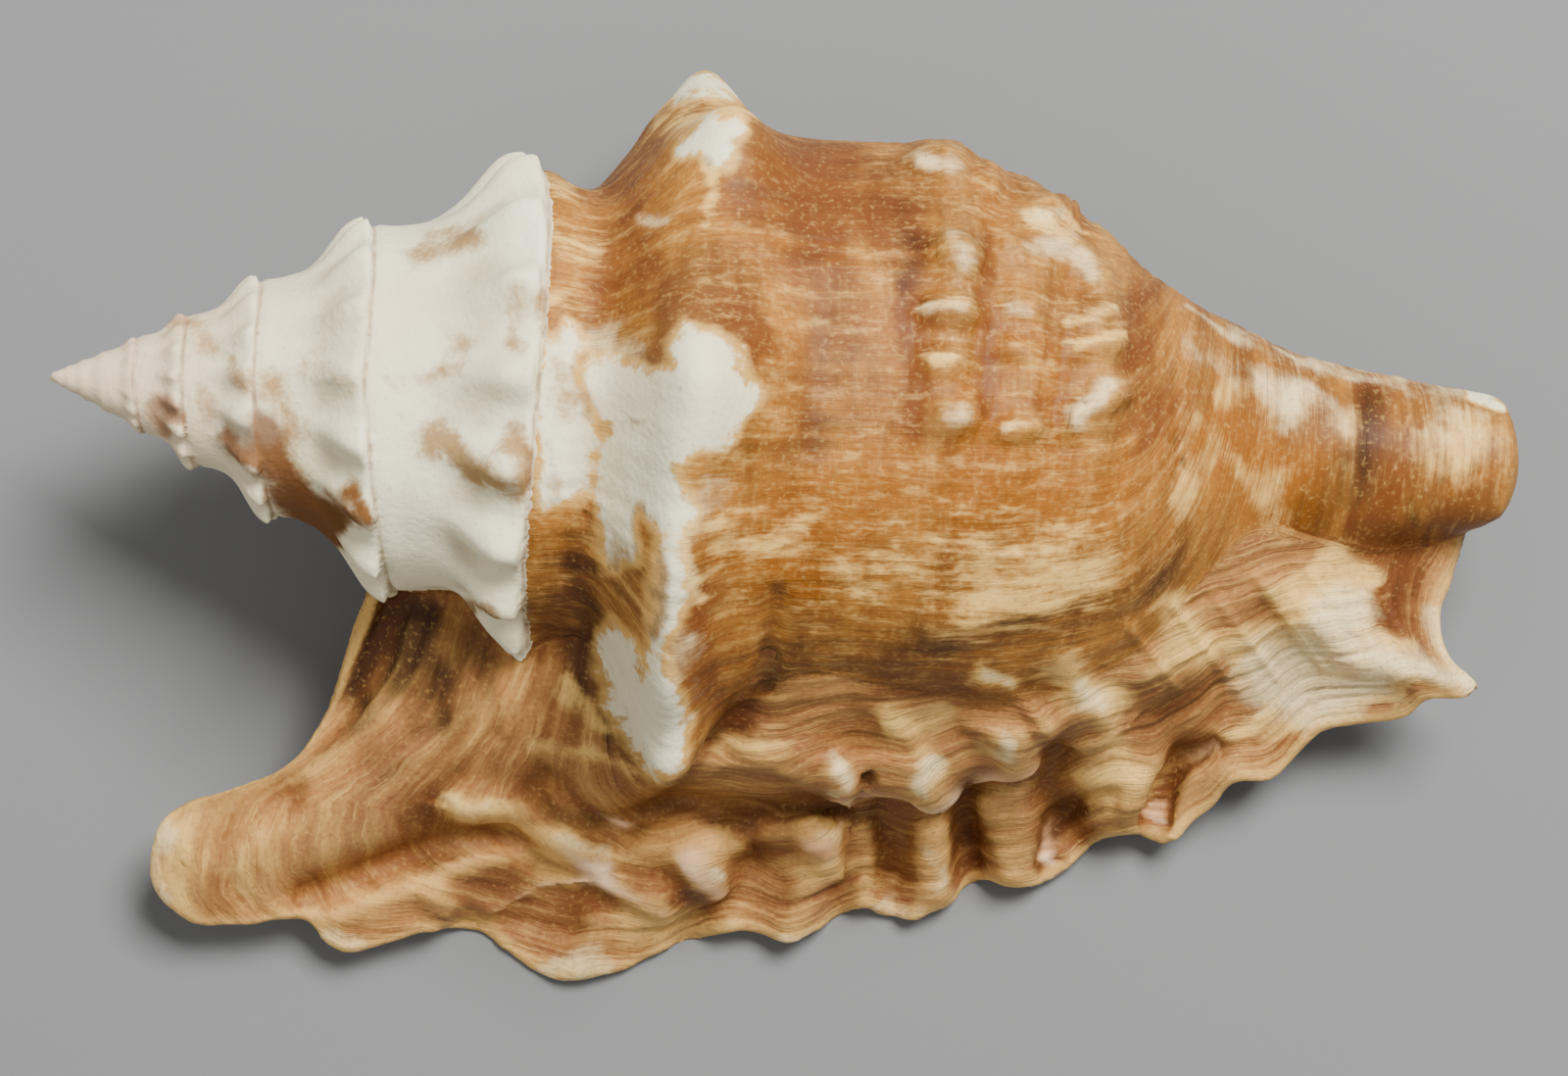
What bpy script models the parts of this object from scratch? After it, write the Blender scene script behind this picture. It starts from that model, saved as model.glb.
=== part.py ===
"""A rooster-tail conch shell, lying on its aperture as it would on a table.

The shell is one piece. Its coiled core is a grid wound round the coiling axis, the flared lip is a
thick folded sheet that grows out of the last whorl, and the aperture and the canal are cut into the
underside. Lengths below are in millimetres, and the mesh is written in metres.

Angles round the axis are measured from the back of the shell, which points up, and grow towards
the lip: -90 is the side away from the lip, 0 the back, 90 the lip side and 180 the underside.
"""

import math

import bmesh
import bpy
import numpy as np
from mathutils import Vector

MM = 0.001

# The coiling axis runs from the apex, at low X, down and slightly across to the canal.
APEX = np.array([-69.1, 15.2, 30.6])
AXIS_YAW_DEG = -2.2
AXIS_DIP_DEG = 5.6
SHELL_LENGTH = 139.5
BLUNT_END = 2.2

# The spire: how much each whorl shrinks towards the apex, and where the last suture crosses the back.
WHORL_RATIO = 0.66
LAST_SUTURE = 45.4
SUTURE_LEAN = 0.18
SPIRE_LEAN_LIMIT = 52.0
SPIRE_ENDS = (34.0, 44.0)
SPIRE_FULLER_BELOW = 0.05

# The knobs on the spire: their step round it, their height as a share of the place along the axis,
# and where on a whorl they sit, as shares of the way from one suture to the next.
KNOB_STEP_DEG = 22.5
FIRST_KNOB_DEG = -3.0
KNOB_HEIGHT = 0.115
KNOB_SHARPNESS = 1.5
KNOB_MIDDLE = 0.82
KNOB_HALF_LENGTH = 0.24
KNOB_FOOT = (0.95, 1.0)
KNOBS_BEGIN = (4.0, 12.0)

# The spire's slope along the axis, as radius over distance from the apex.
SPIRE_SLOPE = [(0.0, 0.51), (14.0, 0.52), (24.0, 0.54), (33.0, 0.54), (41.0, 0.505), (46.0, 0.47),
               (56.0, 0.44), (68.0, 0.40)]

# A whorl's profile from one suture to the next: a hollow ramp, then the shoulder.
WHORL_PROFILE = [
    (0.00, 1.01), (0.05, 0.985), (0.20, 0.93), (0.40, 0.90), (0.58, 0.90), (0.70, 0.93),
    (0.80, 0.97), (0.90, 1.00), (0.97, 1.015), (1.00, 1.00),
]

# Radius of the last whorl along the axis, on the back of the shell, without knobs.
LAST_WHORL = [
    (40.0, 21.4), (45.4, 21.6), (48.5, 20.6), (51.5, 21.0), (54.5, 23.8), (58.0, 26.6),
    (63.0, 27.2), (70.0, 26.6), (80.0, 26.6), (87.0, 26.0), (93.0, 24.4), (99.0, 21.8),
    (104.0, 18.2), (109.0, 14.4), (113.0, 11.6), (118.0, 9.7), (125.0, 8.6), (132.0, 7.4),
    (137.0, 6.5), (139.5, 5.9),
]
LAST_WHORL_GROWTH = 0.175
LAST_WHORL_LEAN = 25.0 * SUTURE_LEAN
LEAN_ENDS = (80.0, 112.0)
SHRINKING_ENDS = (92.0, 118.0)

# Where the last whorl begins and ends: as turns counted along the spiral, and as angles.
LAST_WHORL_BEGINS = (7.0, 7.28)
OLD_WHORL_ENDS = (7.85, 8.1)
YOUNG_WALL_DEG = (-180.0, -120.0)
LIP_LEAVES_DEG = (78.0, 108.0)
INNER_WALL_ENDS = (108.0, 122.0)

# Knobs on the shoulder: (angle, place along the axis, height, half width round, half width along).
SHOULDER_KNOBS = [
    (-98.0, 61.2, 6.6, 16.0, 4.7),
    (-56.0, 62.0, 5.2, 12.0, 5.0),
    (-2.0, 58.5, 6.4, 16.0, 6.0),
    (30.0, 57.2, 3.6, 20.0, 4.0),
    (58.0, 57.8, 4.6, 16.0, 3.6),
    (82.0, 59.0, 8.6, 13.0, 4.4),
    (93.0, 45.2, 2.8, 7.0, 1.7),
    (-135.0, 54.0, 2.4, 13.0, 4.4),
]

KNOB_ROUNDNESS = (1.7, 2.0)

# Knobbed cords round the front half of the last whorl: (place along the axis, height).
CORDS = [(81.0, 0.9), (88.4, 0.8), (95.4, 1.2)]
CORD_HALF_WIDTH = 2.2
CORD_KNOBS_PER_TURN = 32
CORD_KNOB_SHARE = 0.25
FIRST_CORD_KNOB_DEG = -6.5
CORDS_BEGIN_DEG = (-127.0, -107.0)
CORDS_END_DEG = (6.0, 40.0)
CORD_SWING = 3.2

# The canal bends towards the lip and curls up at its end.
CANAL_ASIDE = 2.4
CANAL_BENDS = (98.0, 128.0)
CANAL_CURL = 3.0
CANAL_CURLS = (116.0, 141.0)

# The aperture and the canal's gutter: place along the axis, and the angles that they open between.
APERTURE = [
    (50.0, 70.0, 100.0), (56.0, 48.0, 112.0), (64.0, 30.0, 120.0), (75.0, 20.0, 126.0),
    (90.0, 20.0, 130.0), (100.0, 30.0, 136.0), (108.0, 50.0, 146.0), (116.0, 82.0, 160.0),
    (124.0, 106.0, 178.0), (132.0, 122.0, 190.0), (143.5, 130.0, 198.0),
]
BACK_WALL = 3.2
CANAL_WALL = 2.2
CANAL_WALL_BEGINS = (100.0, 122.0)
ROOF_UNTIL_DEG = 80.0
OPEN_BEYOND_DEG = (80.0, 118.0)
OPENS_BELOW = 4.0
COLUMELLA_DEG = (92.0, 128.0)
COLUMELLA_ENDS = (106.0, 116.0)
COLUMELLA_GAP = 0.5
HOLLOW_CORE_SHARE = 0.33
HOLLOW_WIDENS = (47.0, 62.0)
LEAST_HOLLOW = 0.8

# The free margin of the lip, from the side of the spire round the back lobe to the canal.
LIP_MARGIN = [
    (-39.0, -5.5, 22.0), (-42.0, -11.5, 18.0), (-45.0, -18.0, 15.0), (-49.0, -22.5, 13.0),
    (-55.5, -25.0, 11.5), (-59.0, -26.0, 10.5), (-61.5, -28.0, 10.0), (-63.0, -32.0, 8.5),
    (-62.5, -35.5, 8.0), (-59.0, -38.5, 7.0), (-54.5, -39.0, 7.0), (-49.0, -38.0, 7.5),
    (-47.0, -38.5, 7.0), (-45.5, -41.0, 5.0), (-43.0, -42.0, 4.0), (-39.5, -41.0, 4.5),
    (-36.0, -40.0, 5.5), (-30.5, -40.0, 4.0), (-28.5, -41.5, 2.5), (-25.0, -44.0, 1.0),
    (-21.5, -45.0, 0.2), (-16.0, -44.0, 0.6), (-10.0, -41.0, 3.0), (-5.5, -39.5, 5.0),
    (-2.5, -40.0, 3.4), (0.5, -41.0, 2.4), (3.5, -40.0, 2.9), (5.0, -39.0, 3.4),
    (8.0, -37.5, 4.2), (10.0, -38.0, 3.0), (13.5, -38.5, 1.6), (16.5, -37.0, 2.2),
    (19.0, -35.0, 3.6), (22.0, -35.0, 3.0), (25.0, -35.5, 2.0), (28.0, -34.0, 3.2),
    (31.5, -31.0, 6.0), (34.0, -30.2, 5.5), (38.0, -30.5, 4.5), (40.5, -28.5, 6.0),
    (42.5, -27.0, 7.0), (44.5, -24.5, 8.5), (48.5, -24.0, 8.0), (51.5, -20.5, 10.0),
    (53.5, -19.0, 11.0), (60.5, -18.0, 12.0), (62.5, -16.2, 13.5), (65.0, -15.5, 13.0),
    (67.0, -14.5, 13.0), (64.5, -12.0, 15.0), (63.5, -7.5, 16.5), (65.5, -3.0, 17.0),
    (66.0, 0.0, 18.0),
]

# Where the lip springs from inside the last whorl: (number of the margin point, root).
LIP_ROOTS = [
    (0, (-36.0, 4.0, 22.0)), (4, (-30.0, 1.5, 23.0)), (8, (-25.5, -0.5, 24.0)),
    (12, (-22.5, -1.5, 25.5)), (16, (-19.5, -2.2, 28.0)), (20, (-15.0, -2.8, 32.0)),
    (23, (-8.0, -3.0, 38.0)), (26, (0.0, -3.0, 42.5)), (30, (10.0, -2.5, 42.0)),
    (34, (20.0, -2.0, 40.0)), (38, (31.0, -1.0, 35.5)), (42, (41.0, 2.0, 30.0)),
    (45, (50.0, 4.0, 24.0)), (48, (56.0, 6.0, 20.5)), (52, (60.5, 7.5, 19.5)),
]

# How far the ribs of the lip bend round the notches: (number of the margin point, x, y).
LIP_BENDS = [
    (0, 1.0, -1.0), (1, 1.5, -3.7), (2, 1.8, -6.3), (3, 2.3, -8.8), (4, 3.3, -12.3), (5, 5.0, -13.8),
    (6, 6.9, -12.0), (8, 8.8, -7.0), (10, 6.5, -4.2), (12, 3.0, -3.5), (16, 0.0, 0.0), (42, 0.0, 0.0),
    (44, -0.3, -1.5), (46, -1.0, -4.5), (48, -4.0, -8.0), (50, -2.0, -3.0), (52, -1.0, -3.0),
]
LIP_THICKNESS = (3.2, 2.6)
LIP_RIM = 0.45
LIP_STEEPNESS = 0.5
LIP_DOWNWARD = 0.5
FOLDS_GROW = (0.12, 0.5)

# Folds of the lip as seen from above: (height, half width, points along the fold).
LIP_FOLDS = [
    (3.4, 6.5, [(-58.5, -30.5), (-47.5, -29.5), (-37.5, -25.5), (-31.0, -18.0), (-28.0, -12.0)]),
    (-2.4, 2.2, [(-47.0, -35.5), (-42.0, -33.5), (-36.5, -31.0), (-32.5, -29.0), (-26.5, -29.0)]),
    (1.6, 2.8, [(-42.5, -41.0), (-38.5, -36.0), (-33.5, -33.0), (-28.5, -32.0)]),
    (-2.0, 2.4, [(-32.0, -40.0), (-29.0, -36.5), (-25.0, -34.0), (-19.0, -33.5)]),
    (3.2, 4.0, [(-20.5, -45.0), (-17.5, -39.0), (-12.5, -35.0), (-8.0, -32.0)]),
    (-2.8, 1.9, [(-10.0, -40.0), (-6.5, -36.0), (-5.0, -33.5), (-3.0, -30.5)]),
    (2.6, 2.6, [(0.5, -41.0), (2.0, -35.5), (4.0, -30.5), (3.5, -28.0)]),
    (-2.6, 1.5, [(5.5, -38.0), (5.5, -33.5), (6.0, -29.5), (6.0, -26.0)]),
    (-1.6, 1.4, [(11.0, -36.5), (11.5, -33.0), (12.0, -28.5)]),
    (2.4, 2.2, [(13.5, -38.5), (14.5, -34.0), (15.0, -29.5), (14.5, -25.5)]),
    (-2.4, 1.6, [(18.0, -35.0), (17.5, -30.5), (17.5, -26.5), (18.0, -24.0)]),
    (2.6, 2.4, [(24.5, -35.0), (23.0, -28.5), (22.0, -24.5), (22.5, -21.5)]),
    (-2.8, 1.8, [(30.5, -31.0), (27.5, -28.0), (26.0, -23.5), (27.0, -20.0)]),
    (2.8, 2.8, [(37.5, -30.0), (34.0, -25.5), (31.5, -22.0), (30.5, -19.5)]),
    (-2.4, 1.5, [(36.5, -29.5), (37.0, -25.0), (38.0, -22.5), (39.5, -21.0)]),
    (1.4, 2.6, [(46.0, -24.5), (43.5, -22.5), (42.0, -20.0)]),
    (1.8, 2.8, [(66.5, -15.0), (62.5, -13.0), (55.5, -12.0), (50.0, -7.5)]),
    (2.4, 3.2, [(-10.5, -21.5), (-3.5, -22.0), (5.5, -22.5), (13.0, -22.5), (18.5, -19.5),
                (26.5, -17.0), (32.5, -14.0), (39.0, -11.5)]),
    (-2.3, 1.7, [(-15.0, -27.0), (-9.5, -25.5), (-3.5, -26.0), (3.0, -25.0), (7.5, -24.0),
                 (14.0, -25.5), (17.5, -23.5), (22.5, -21.5), (27.5, -18.5), (33.5, -16.0)]),
]

REST_HEIGHT = 0.6

# How finely each surface is drawn.
CORE_RINGS = (60, 130, 7)
CORE_ANGLES = 144
FIRST_RING = 0.25
SPIRE_RINGS_END = 20.0
LIP_RIBS, LIP_STEPS = 261, 61
RIB_SPREAD = 7
HOLLOW_RINGS, HOLLOW_STEPS = 80, 28
SURFACE_STEP = 0.9
TRIANGLES = 9400


def ease(x, low, high):
    """0 below low, 1 above high, and a smooth step between them."""
    t = np.clip((x - low) / (high - low), 0.0, 1.0)
    return t * t * (3 - 2 * t)


def hump(x, middle, half_width):
    """A rounded bump of height 1."""
    return np.exp(-(((x - middle) / half_width) ** 2))


def curve_through(points, at):
    """Points on a smooth curve through the given ones, which lie at 0, 1, 2 and so on."""
    points = np.asarray(points, float)
    at = np.clip(np.asarray(at, float), 0, len(points) - 1 - 1e-9)
    i = at.astype(int)
    t = (at - i)[..., None]
    tangents = np.gradient(points, axis=0)
    p, q, m, n = points[i], points[i + 1], tangents[i], tangents[i + 1]
    return (
        (1 + 2 * t) * (1 - t) ** 2 * p + t * (1 - t) ** 2 * m
        + t * t * (3 - 2 * t) * q - t * t * (1 - t) * n
    )


def axis_frame():
    """Unit vectors along the axis, up from it, and towards the lip."""
    yaw, dip = math.radians(AXIS_YAW_DEG), math.radians(AXIS_DIP_DEG)
    along = np.array([math.cos(dip) * math.cos(yaw), math.cos(dip) * math.sin(yaw), -math.sin(dip)])
    up = np.array([math.sin(dip) * math.cos(yaw), math.sin(dip) * math.sin(yaw), math.cos(dip)])
    return along, up, np.cross(along, up)


def axis_point(a):
    """The middle of the shell at a distance a from the apex."""
    along, up, aside = axis_frame()
    a = np.asarray(a, float)[..., None]
    bend = CANAL_ASIDE * ease(a, *CANAL_BENDS)
    curl = CANAL_CURL * ease(a, *CANAL_CURLS) ** 2
    return APEX + a * along + bend * aside + curl * up


def around(a, angle, radius):
    """Points at a radius and an angle in degrees round the axis."""
    _, up, aside = axis_frame()
    turn = np.radians(angle)[..., None]
    return axis_point(a) + radius[..., None] * (np.cos(turn) * up + np.sin(turn) * aside)


def whorl_number(a, angle):
    """Turns counted along the spiral: whole numbers are sutures, and 7 is the last one."""
    shrink = -math.log(WHORL_RATIO)
    sway = np.sin(np.radians(angle))
    sway = np.where(sway > 0, sway * ease(a, *SPIRE_ENDS), sway)
    lean = SUTURE_LEAN * 0.5 * np.minimum(a, SPIRE_LEAN_LIMIT) * sway
    return 7 + np.log(np.maximum(a + lean, 0.02) / LAST_SUTURE) / shrink - angle / 360


def spire_radius(a, angle, turns):
    """Radius of the spire: a cone whose whorls hollow below each suture and swell at the shoulder."""
    slope = np.interp(a, *zip(*SPIRE_SLOPE))
    fuller = 1 + SPIRE_FULLER_BELOW * np.sin(np.radians(angle)) * (1 - ease(a, *SPIRE_ENDS))
    part = turns - np.floor(turns)
    profile = np.interp(part, *zip(*WHORL_PROFILE))
    along_spiral = 360 * np.floor(turns) + angle - FIRST_KNOB_DEG
    knob = (0.5 + 0.5 * np.cos(np.radians(along_spiral * 360 / KNOB_STEP_DEG))) ** KNOB_SHARPNESS
    knob = knob * hump(part, KNOB_MIDDLE, KNOB_HALF_LENGTH) * (1 - ease(part, *KNOB_FOOT))
    return a * slope * fuller * (profile + KNOB_HEIGHT * knob * ease(a, *KNOBS_BEGIN))


def last_radius(a, turned):
    """Radius of the last whorl at turned degrees before or after the back of the shell."""
    grow = -math.log(WHORL_RATIO) * (1 - ease(a, *SHRINKING_ENDS))
    leant = a + LAST_WHORL_LEAN * np.sin(np.radians(turned)) * (1 - ease(a, *LEAN_ENDS))
    table = np.array(LAST_WHORL)
    steps = np.arange(table[0, 0], table[-1, 0], 0.5)
    index = np.interp(steps, table[:, 0], np.arange(len(table)))
    smooth = curve_through(table, index)
    at = leant * np.exp(-grow * turned / 360)
    return np.exp(LAST_WHORL_GROWTH * turned / 360) * np.interp(at, smooth[:, 0], smooth[:, 1])


def core_radius(a, angle):
    """Radius of the coiled core, from the spire to the canal."""
    turns = whorl_number(a, angle)
    spire = spire_radius(a, angle, turns)
    outer = last_radius(a, angle)
    inner = last_radius(a, angle - 360)
    lip_gone = ease(angle, *LIP_LEAVES_DEG)
    last = outer + (inner - outer) * lip_gone * (1 - ease(a, *INNER_WALL_ENDS))
    begins = ease(turns, *LAST_WHORL_BEGINS)
    young = 1 - ease(angle, *YOUNG_WALL_DEG)
    last = last + (spire - last) * young * (1 - ease(turns, *OLD_WHORL_ENDS))
    radius = np.where(turns < LAST_WHORL_BEGINS[0], spire, spire * (1 - begins) + last * begins)
    for knob_angle, place, height, round_width, along_width in SHOULDER_KNOBS:
        away = np.abs((angle - knob_angle + 180) % 360 - 180)
        falls_round = (away / round_width) ** KNOB_ROUNDNESS[0]
        falls_along = np.abs((a - place) / along_width) ** KNOB_ROUNDNESS[1]
        radius = radius + height * np.exp(-falls_round - falls_along)
    radius = radius + cords(a, angle)
    blunt = np.clip((SHELL_LENGTH - a) / BLUNT_END, 0.0, 1.0)
    return radius * np.sqrt(1 - (1 - blunt) ** 2)


def cords(a, angle):
    """The knobbed cords on the front half of the last whorl."""
    there = ease(angle, *CORDS_BEGIN_DEG) * (1 - ease(angle, *CORDS_END_DEG))
    wave = np.cos(np.radians(CORD_KNOBS_PER_TURN * (angle - FIRST_CORD_KNOB_DEG)))
    beads = 1 - CORD_KNOB_SHARE + CORD_KNOB_SHARE * wave
    swing = CORD_SWING * np.sin(np.radians(angle))
    rows = sum(height * hump(a + swing, place, CORD_HALF_WIDTH) for place, height in CORDS)
    return rows * beads * there


def closed_grid(rings, start, end):
    """Vertices and faces of a tube of equal rings, closed to a point at both ends."""
    count, size = rings.shape[0], rings.shape[1]
    points = np.vstack([rings.reshape(-1, 3), start, end])
    first, last = count * size, count * size + 1
    faces = []
    for i in range(count - 1):
        for j in range(size):
            k = (j + 1) % size
            faces.append((i * size + j, i * size + k, (i + 1) * size + k, (i + 1) * size + j))
    for j in range(size):
        k = (j + 1) % size
        faces.append((first, k, j))
        faces.append((last, (count - 1) * size + j, (count - 1) * size + k))
    return points, faces


def core_mesh():
    """The coiled core as rings round the axis, closer together towards the apex."""
    near, middle, end = CORE_RINGS
    rounding = np.sin(np.linspace(0, 0.48 * math.pi, end))
    places = np.concatenate([
        np.geomspace(FIRST_RING, SPIRE_RINGS_END, near)[:-1],
        np.linspace(SPIRE_RINGS_END, SHELL_LENGTH - BLUNT_END, middle)[:-1],
        SHELL_LENGTH - BLUNT_END * (1 - rounding),
    ])
    angles = np.linspace(-180.0, 180.0, CORE_ANGLES, endpoint=False)
    a, angle = np.meshgrid(places, angles, indexing="ij")
    rings = around(a, angle, core_radius(a, angle))
    return closed_grid(rings, axis_point(0.0), axis_point(SHELL_LENGTH))


def distance_to_line(x, y, line):
    """How far points are from a line through the given corners, seen from above."""
    nearest = np.full(np.shape(x), np.inf)
    for (x0, y0), (x1, y1) in zip(line, line[1:]):
        dx, dy = x1 - x0, y1 - y0
        share = ((x - x0) * dx + (y - y0) * dy) / (dx * dx + dy * dy)
        t = np.clip(share, 0, 1)
        nearest = np.minimum(nearest, np.hypot(x - x0 - t * dx, y - y0 - t * dy))
    return nearest


def lip_surface(u, v):
    """The lip's back: u counts the margin's points from the spire, v runs from root to margin."""
    numbers, roots = zip(*LIP_ROOTS)
    margin = curve_through(LIP_MARGIN, u)
    root = curve_through(roots, np.interp(u, numbers, np.arange(len(roots))))
    points = root + (margin - root) * v[..., None]
    bends = np.array(LIP_BENDS)
    bend = curve_through(bends[:, 1:], np.interp(u, bends[:, 0], np.arange(len(bends))))
    points[..., :2] += (2 * v * (1 - v))[..., None] * bend
    drop = LIP_STEEPNESS * np.sin(2 * math.pi * v) / (2 * math.pi)
    points[..., 2] += (root - margin)[..., 2] * drop
    grows = ease(v, *FOLDS_GROW)
    for height, half_width, line in LIP_FOLDS:
        away = distance_to_line(points[..., 0], points[..., 1], line)
        points[..., 2] += height * hump(away, 0, half_width) * grows
    return points


def lip_mesh():
    """The lip as a thick sheet: its back, its inner face and the rounded rim that joins them."""
    ribs, steps = np.linspace(0, len(LIP_MARGIN) - 1, LIP_RIBS), np.linspace(0, 1, LIP_STEPS)
    u, v = np.meshgrid(ribs, steps, indexing="ij")
    ends = lip_surface(u[:, [0, -1]], v[:, [0, -1]])
    breadth = np.linalg.norm(ends[:, 1:] - ends[:, :1], axis=-1)
    v = v * (1 - LIP_RIM * LIP_THICKNESS[1] / breadth)
    back = lip_surface(u, v)
    across, outward = np.gradient(back, axis=0), np.gradient(back, axis=1)
    normals = np.cross(across, outward)
    normals /= np.linalg.norm(normals, axis=-1, keepdims=True)
    normals *= np.sign(normals[..., 2:3].mean())
    spread = np.ones(RIB_SPREAD) / RIB_SPREAD
    for side in range(3):
        normals[..., side] = np.apply_along_axis(np.convolve, 0, normals[..., side], spread, "same")
    normals[..., 2] += LIP_DOWNWARD
    normals /= np.linalg.norm(normals, axis=-1, keepdims=True)
    outward /= np.linalg.norm(outward, axis=-1, keepdims=True)
    thickness = np.interp(v, [0, 1], LIP_THICKNESS)[..., None]
    inner = back - normals * thickness
    edge = (back + inner) / 2 + LIP_RIM * thickness * outward
    loops = np.concatenate([back, edge[:, -1:], inner[:, ::-1]], axis=1)
    return closed_grid(loops[:, ::-1], loops[0].mean(axis=0), loops[-1].mean(axis=0))


def aperture_mesh():
    """What is cut away below: a slot that winds in under the back, and the canal's gutter after it."""
    table = np.array(APERTURE)
    share = np.linspace(0.0, 1.0, HOLLOW_STEPS)
    rings = []
    for place in np.linspace(table[0, 0], table[-1, 0], HOLLOW_RINGS):
        first, last = (np.interp(place, table[:, 0], table[:, side]) for side in (1, 2))
        angles = first + (last - first) * share
        a = np.full_like(angles, place)
        thickness = BACK_WALL + (CANAL_WALL - BACK_WALL) * ease(a, *CANAL_WALL_BEGINS)
        wall = last_radius(a, np.minimum(angles, ROOF_UNTIL_DEG)) - thickness
        middle = HOLLOW_CORE_SHARE * wall
        columella = last_radius(a, angles - 360) + COLUMELLA_GAP
        follows_core = ease(angles, *COLUMELLA_DEG) * (1 - ease(a, *COLUMELLA_ENDS))
        inner = middle + (columella - middle) * follows_core
        outer = wall + (thickness + OPENS_BELOW) * ease(angles, *OPEN_BEYOND_DEG)
        centre = 0.5 * (outer + inner)
        narrow = math.sqrt(float(ease(place, *HOLLOW_WIDENS)))
        outer = centre + (outer - centre) * narrow
        inner = np.minimum(centre + (inner - centre) * narrow, outer - LEAST_HOLLOW)
        rings.append(np.concatenate([around(a, angles, outer), around(a, angles, inner)[::-1]]))
    rings = np.array(rings)
    return closed_grid(rings, rings[0].mean(axis=0), rings[-1].mean(axis=0))


def table_mesh():
    """A slab below the surface that the shell rests on. It wears the touching spots flat."""
    low, high = np.array([-90.0, -70.0, -12.0]), np.array([90.0, 70.0, REST_HEIGHT])
    corners = [[x, y, z] for z in (low[2], high[2]) for x, y in
               ((low[0], low[1]), (high[0], low[1]), (high[0], high[1]), (low[0], high[1]))]
    faces = [(0, 3, 2, 1), (4, 5, 6, 7), (0, 1, 5, 4), (1, 2, 6, 5), (2, 3, 7, 6), (3, 0, 4, 7)]
    return np.array(corners), faces


def new_object(name, points, faces):
    """A mesh object, with its points turned from millimetres into metres."""
    mesh = bpy.data.meshes.new(name)
    mesh.from_pydata((np.asarray(points) * MM).tolist(), [], faces)
    made = bpy.data.objects.new(name, mesh)
    bpy.context.scene.collection.objects.link(made)
    return made


def combine(target, name, shape, operation):
    """Adds a Boolean with another closed shape to the target's modifiers."""
    tool = new_object(name, *shape)
    tool.hide_render = True
    tool.display_type = "WIRE"
    step = target.modifiers.new(name, "BOOLEAN")
    step.operation = operation
    step.object = tool
    step.solver = "EXACT"


def even_out(target, name):
    """Rebuilds the surface in even steps, which joins what overlaps into one skin."""
    step = target.modifiers.new(name, "REMESH")
    step.mode = "VOXEL"
    step.voxel_size = SURFACE_STEP * MM


def settle(shell):
    """Makes the modelled shape the object's own mesh, without crumbs, centred over its box's foot."""
    evaluated = shell.evaluated_get(bpy.context.evaluated_depsgraph_get())
    shape = bmesh.new()
    shape.from_mesh(evaluated.to_mesh())
    largest = max(islands(shape), key=len)
    bmesh.ops.delete(shape, geom=[v for v in shape.verts if v not in largest], context="VERTS")
    low = [min(v.co[i] for v in shape.verts) for i in range(3)]
    high = [max(v.co[i] for v in shape.verts) for i in range(3)]
    middle = Vector(((low[0] + high[0]) / 2, (low[1] + high[1]) / 2, low[2]))
    bmesh.ops.translate(shape, vec=-middle, verts=shape.verts)
    shell.modifiers.clear()
    shape.to_mesh(shell.data)
    shape.free()


def islands(shape):
    """The sets of vertices that hang together."""
    left = set(shape.verts)
    found = []
    while left:
        start = left.pop()
        island, edge_of_search = {start}, [start]
        while edge_of_search:
            vert = edge_of_search.pop()
            for edge in vert.link_edges:
                other = edge.other_vert(vert)
                if other in left:
                    left.remove(other)
                    island.add(other)
                    edge_of_search.append(other)
        found.append(island)
    return found


def shell_material():
    """Worn lime-white and warm brown, with the low gloss of a beach shell."""
    material = bpy.data.materials.new("shell")
    material.use_nodes = True
    surface = material.node_tree.nodes["Principled BSDF"]
    surface.inputs["Base Color"].default_value = (0.62, 0.42, 0.25, 1.0)
    surface.inputs["Roughness"].default_value = 0.42
    surface.inputs["Metallic"].default_value = 0.0
    return material


def build():
    """Joins the core and the lip, cuts the openings, and evens the surface out."""
    for old in list(bpy.data.objects):
        bpy.data.objects.remove(old)
    core_points, core_faces = core_mesh()
    lip_points, lip_faces = lip_mesh()
    first = len(core_points)
    lip_faces = [tuple(corner + first for corner in face) for face in lip_faces]
    shell = new_object("shell", np.vstack([core_points, lip_points]), core_faces + lip_faces)
    even_out(shell, "grow together")
    combine(shell, "aperture_cut", aperture_mesh(), "DIFFERENCE")
    even_out(shell, "even surface")
    fewer = shell.modifiers.new("fewer faces", "DECIMATE")
    evaluated = shell.evaluated_get(bpy.context.evaluated_depsgraph_get())
    fewer.ratio = TRIANGLES / sum(len(face.vertices) - 2 for face in evaluated.to_mesh().polygons)
    combine(shell, "table_cut", table_mesh(), "DIFFERENCE")
    settle(shell)
    for tool in [thing for thing in bpy.data.objects if thing != shell]:
        bpy.data.objects.remove(tool)
    shell.data.materials.append(shell_material())


build()
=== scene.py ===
# %% [markdown]
# A conch shell of the rooster-tail kind, seen from above as it lies on its aperture.
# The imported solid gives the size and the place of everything. This lesson grows a finer surface over
# it, paints that surface with nodes, and lights it softly.

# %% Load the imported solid
import math

import bpy
import numpy as np
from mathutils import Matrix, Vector, noise
from mathutils.bvhtree import BVHTree


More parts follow.
